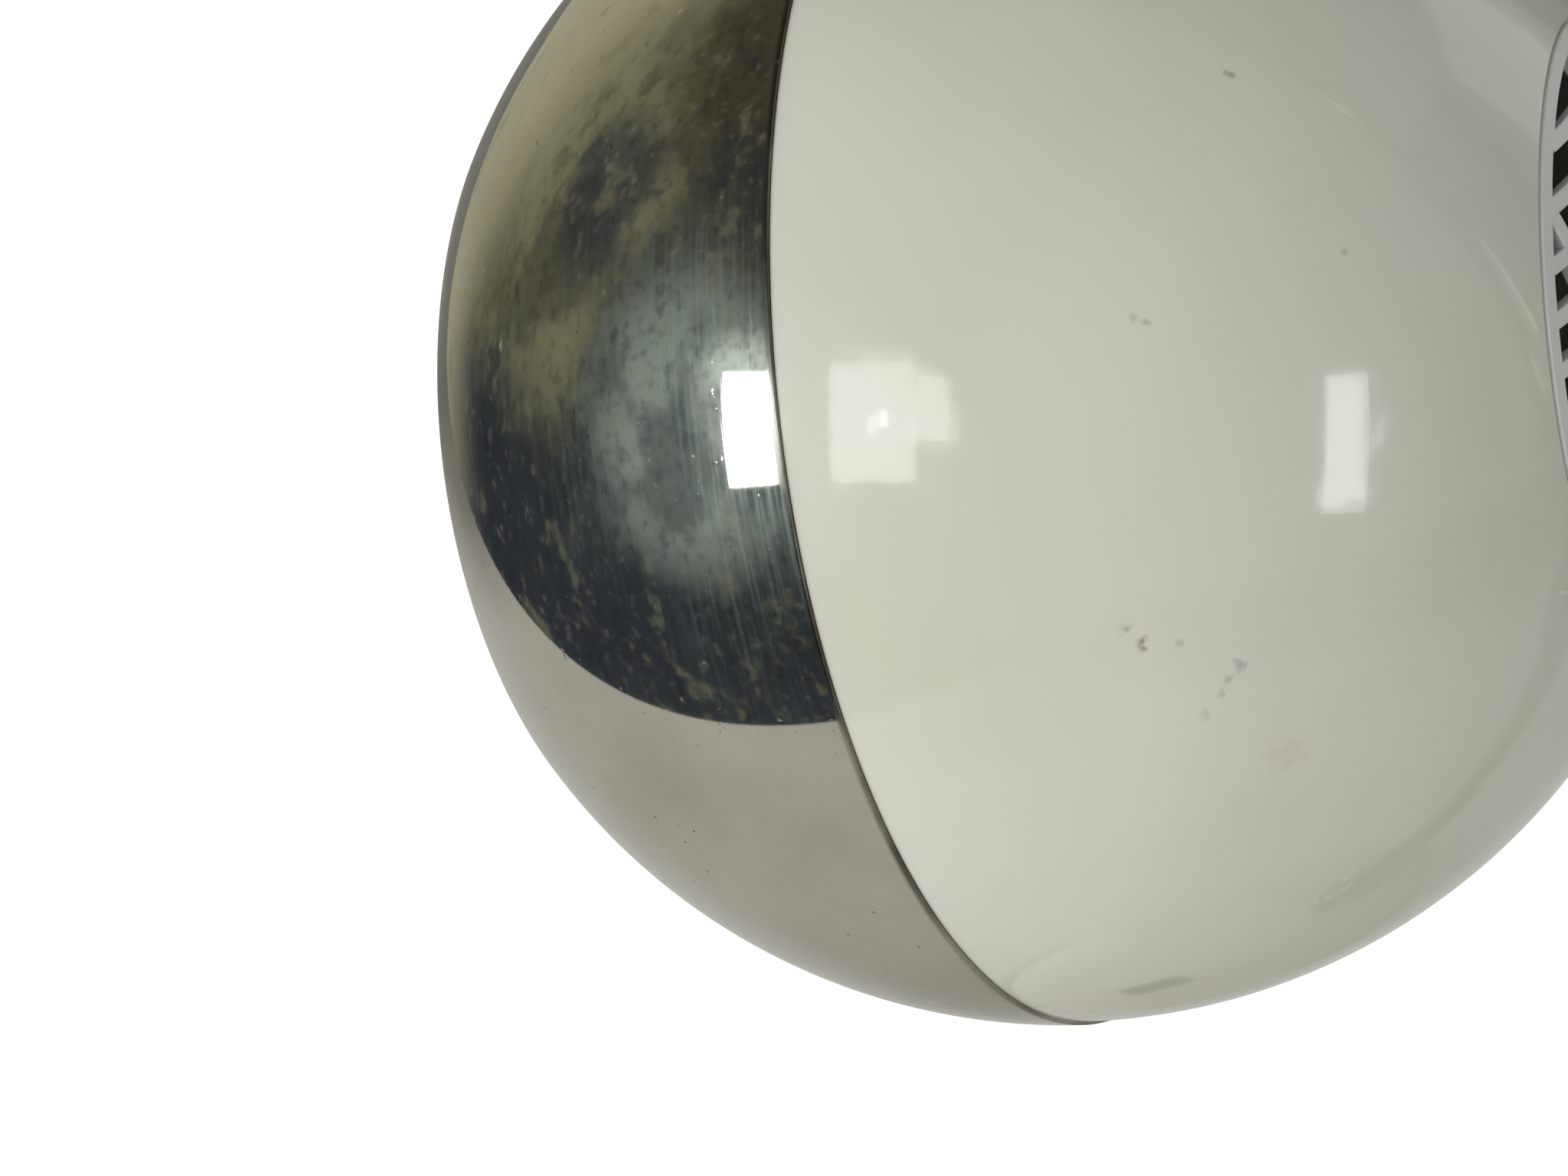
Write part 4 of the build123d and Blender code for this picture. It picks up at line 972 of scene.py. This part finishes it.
def facing(azimuth, elevation):
    """Cosine of the angle between a direction and what is looked at."""
    aim = out_to(azimuth, elevation)
    return room.add("ShaderNodeVectorMath", {"operation": "DOT_PRODUCT"}, {0: toward, 1: aim}, 1)


def near(azimuth, elevation, inner, outer):
    """One in the middle of a round patch of the room and nothing outside it. In degrees."""
    return room.step(facing(azimuth, elevation), cos(radians(outer)), cos(radians(inner)))


def upright(azimuth, half_width, low, high):
    """One inside an upright oblong of the room, such as a door, and nothing outside it. In degrees."""
    aside = facing(azimuth + 90, 0)
    edge, foot, head_height = (sin(radians(angle)) for angle in (half_width, low, high))
    mask = room.step(facing(azimuth, 0), 0.0, 0.1) * room.step(aside * aside, (edge + 0.04) ** 2, edge ** 2)
    mask = mask * room.step(rise, foot - 0.03, foot + 0.03)
    return mask * room.step(rise, head_height + 0.03, head_height - 0.03)


UNDER_TABLE = (0.030, 0.038, 0.052, 1.0)
DARK_WALL = (0.085, 0.095, 0.085, 1.0)
UPPER_WALL = (0.075, 0.065, 0.045, 1.0)
OLIVE_WALL = (0.25, 0.245, 0.16, 1.0)
PALE_WALL = (0.46, 0.44, 0.32, 1.0)
GREY_WALL = (0.30, 0.30, 0.26, 1.0)
REAR_WALL = (0.33, 0.33, 0.30, 1.0)
RECESS = (0.05, 0.06, 0.07, 1.0)
SHADE = (0.022, 0.026, 0.036, 1.0)
CURTAIN = (0.36, 0.43, 0.41, 1.0)
DAYLIGHT = (0.92, 1.05, 1.03, 1.0)
GLINT = (0.9, 0.88, 0.7, 1.0)
REAR_DARK = (0.05, 0.05, 0.045, 1.0)
REAR_PALE = (0.85, 0.87, 0.83, 1.0)
glints = room.step(crumbs, 0.70, 0.73) * room.step(shapes, 0.5, 0.55)
layers = [
    (room.step(across, 0.36, 0.2) * room.step(rise, -0.3, 0.0), OLIVE_WALL),
    (room.step(rise, 0.42, 0.64), UPPER_WALL),
    (0.8 * near(2, 17, 6, 13) + 0.7 * near(22, -14, 4, 12), RECESS),
    (room.step(across, -0.15, -0.55), PALE_WALL),
    (0.9 * near(42, 5, 9, 27), CURTAIN),
    (near(52, 13, 5, 13), DAYLIGHT),
    (0.55 * room.step(shapes, 0.47, 0.6) * rightward, SHADE),
    (0.5 * room.step(clutter, 0.55, 0.66), OLIVE_WALL),
    (0.5 * room.step(clutter, 0.46, 0.36) * rightward, SHADE),
    (0.45 * room.step(crumbs, 0.5, 0.3) * rightward, SHADE),
    (0.35 * room.step(crumbs, 0.56, 0.7), GREY_WALL),
    (0.8 * glints, GLINT),
    (room.step(ahead, 0.0, 0.5), REAR_WALL),
    (0.85 * upright(206, 9, -20, 38), REAR_DARK),
    (0.9 * upright(234, 8, 2, 34), REAR_PALE),
    (0.75 * upright(260, 10, -20, 27), REAR_DARK),
    (0.7 * upright(279, 4, -4, 30), REAR_PALE),
]
walls = room.mix(room.step(rise, -0.3, -0.05), UNDER_TABLE, DARK_WALL)
for mask, colour in layers:
    walls = room.mix(mask, walls, colour)
FRONT_SKY = (0.66, 0.66, 0.64, 1.0)
REAR_SKY = (0.38, 0.38, 0.355, 1.0)
HIGH_SKY = (0.17, 0.165, 0.15, 1.0)
WHITE = (1.0, 1.0, 1.0, 1.0)
low_sky = room.mix(room.step(ahead, -0.2, 0.7), FRONT_SKY, REAR_SKY)
sky = room.mix(room.step(rise, 0.25, 0.85), low_sky, HIGH_SKY)
reflected = room.add("ShaderNodeLightPath", output="Is Glossy Ray")
direct = room.add("ShaderNodeLightPath", output="Is Camera Ray")
clear = room.add("ShaderNodeLightPath", output="Is Transmission Ray")
indirect = room.mix(reflected, sky, walls)
room_colour = room.mix(direct + clear, indirect, WHITE)
room.join(room.tree.nodes["Background"].inputs["Color"], room_colour)


# Windows of the room and three soft fills, as flat lamps a metre and a half from the ball, each turned
# to it. The windows show in the plating and the enamel, in the directions of the photo's highlights.
WINDOW_FAR = 1.5


def window(name, azimuth, elevation, roll, width, height, radiance, colour, mirrored=True):
    """Roll is about the line of sight, in degrees. A fill lights the lamp and isn't mirrored in it."""
    out = out_to(azimuth, elevation)
    lamp = bpy.data.lights.new(name, "AREA")
    lamp.shape = "RECTANGLE"
    lamp.size = width
    lamp.size_y = height
    lamp.energy = radiance * pi * width * height
    lamp.color = colour
    placed = bpy.data.objects.new(name, lamp)
    placed.location = ball + out * WINDOW_FAR
    aimed = out.to_track_quat("Z", "Y").to_matrix()
    placed.rotation_euler = (aimed @ Matrix.Rotation(radians(roll), 3, "Z")).to_euler()
    placed.visible_camera = False
    placed.visible_glossy = mirrored
    bpy.context.scene.collection.objects.link(placed)


window("window_front", 54.6, 10.2, 24, 0.235, 0.44, 7.0, (0.96, 1.0, 0.99))
window("window_side", 75.4, 18.4, 15, 0.385, 0.5, 3.6, (0.98, 1.0, 1.0))
window("window_side_pane", 85.3, 22.9, 6, 0.15, 0.26, 3.6, (0.98, 1.0, 1.0))
window("window_side_core", 77.4, 19.5, 15, 0.035, 0.07, 8.0, (1.0, 1.0, 1.0))
window("window_rear", 156.9, 13.4, -14, 0.2, 0.54, 5.2, (0.96, 1.0, 1.0))
window("front_fill", 58, 5, 0, 1.2, 0.6, 2.7, (1.0, 1.0, 1.0), False)
window("left_fill", 262, 15, 0, 1.2, 0.8, 1.8, (1.0, 1.0, 1.0), False)
window("ceiling_bounce", 40, 80, 0, 1.6, 1.6, 0.2, (1.0, 0.99, 0.95), False)

# Camera. It looks down at the ball's right rear from close by, as the photograph does.
CAMERA_AT = (0.27166, -0.01534, 0.37627)
FOCAL = 59.766
CAMERA_DOWN = 31.4856
CAMERA_ROUND = 112.961
camera_data = bpy.data.cameras.new("camera")
camera_data.lens = FOCAL
camera_data.sensor_width = 36
camera_data.clip_start = 0.01
camera = bpy.data.objects.new("camera", camera_data)
camera.location = CAMERA_AT
camera.rotation_euler = (radians(90 - CAMERA_DOWN), 0, radians(CAMERA_ROUND))
bpy.context.scene.collection.objects.link(camera)
bpy.context.scene.camera = camera
bpy.context.scene.view_settings.view_transform = "Standard"
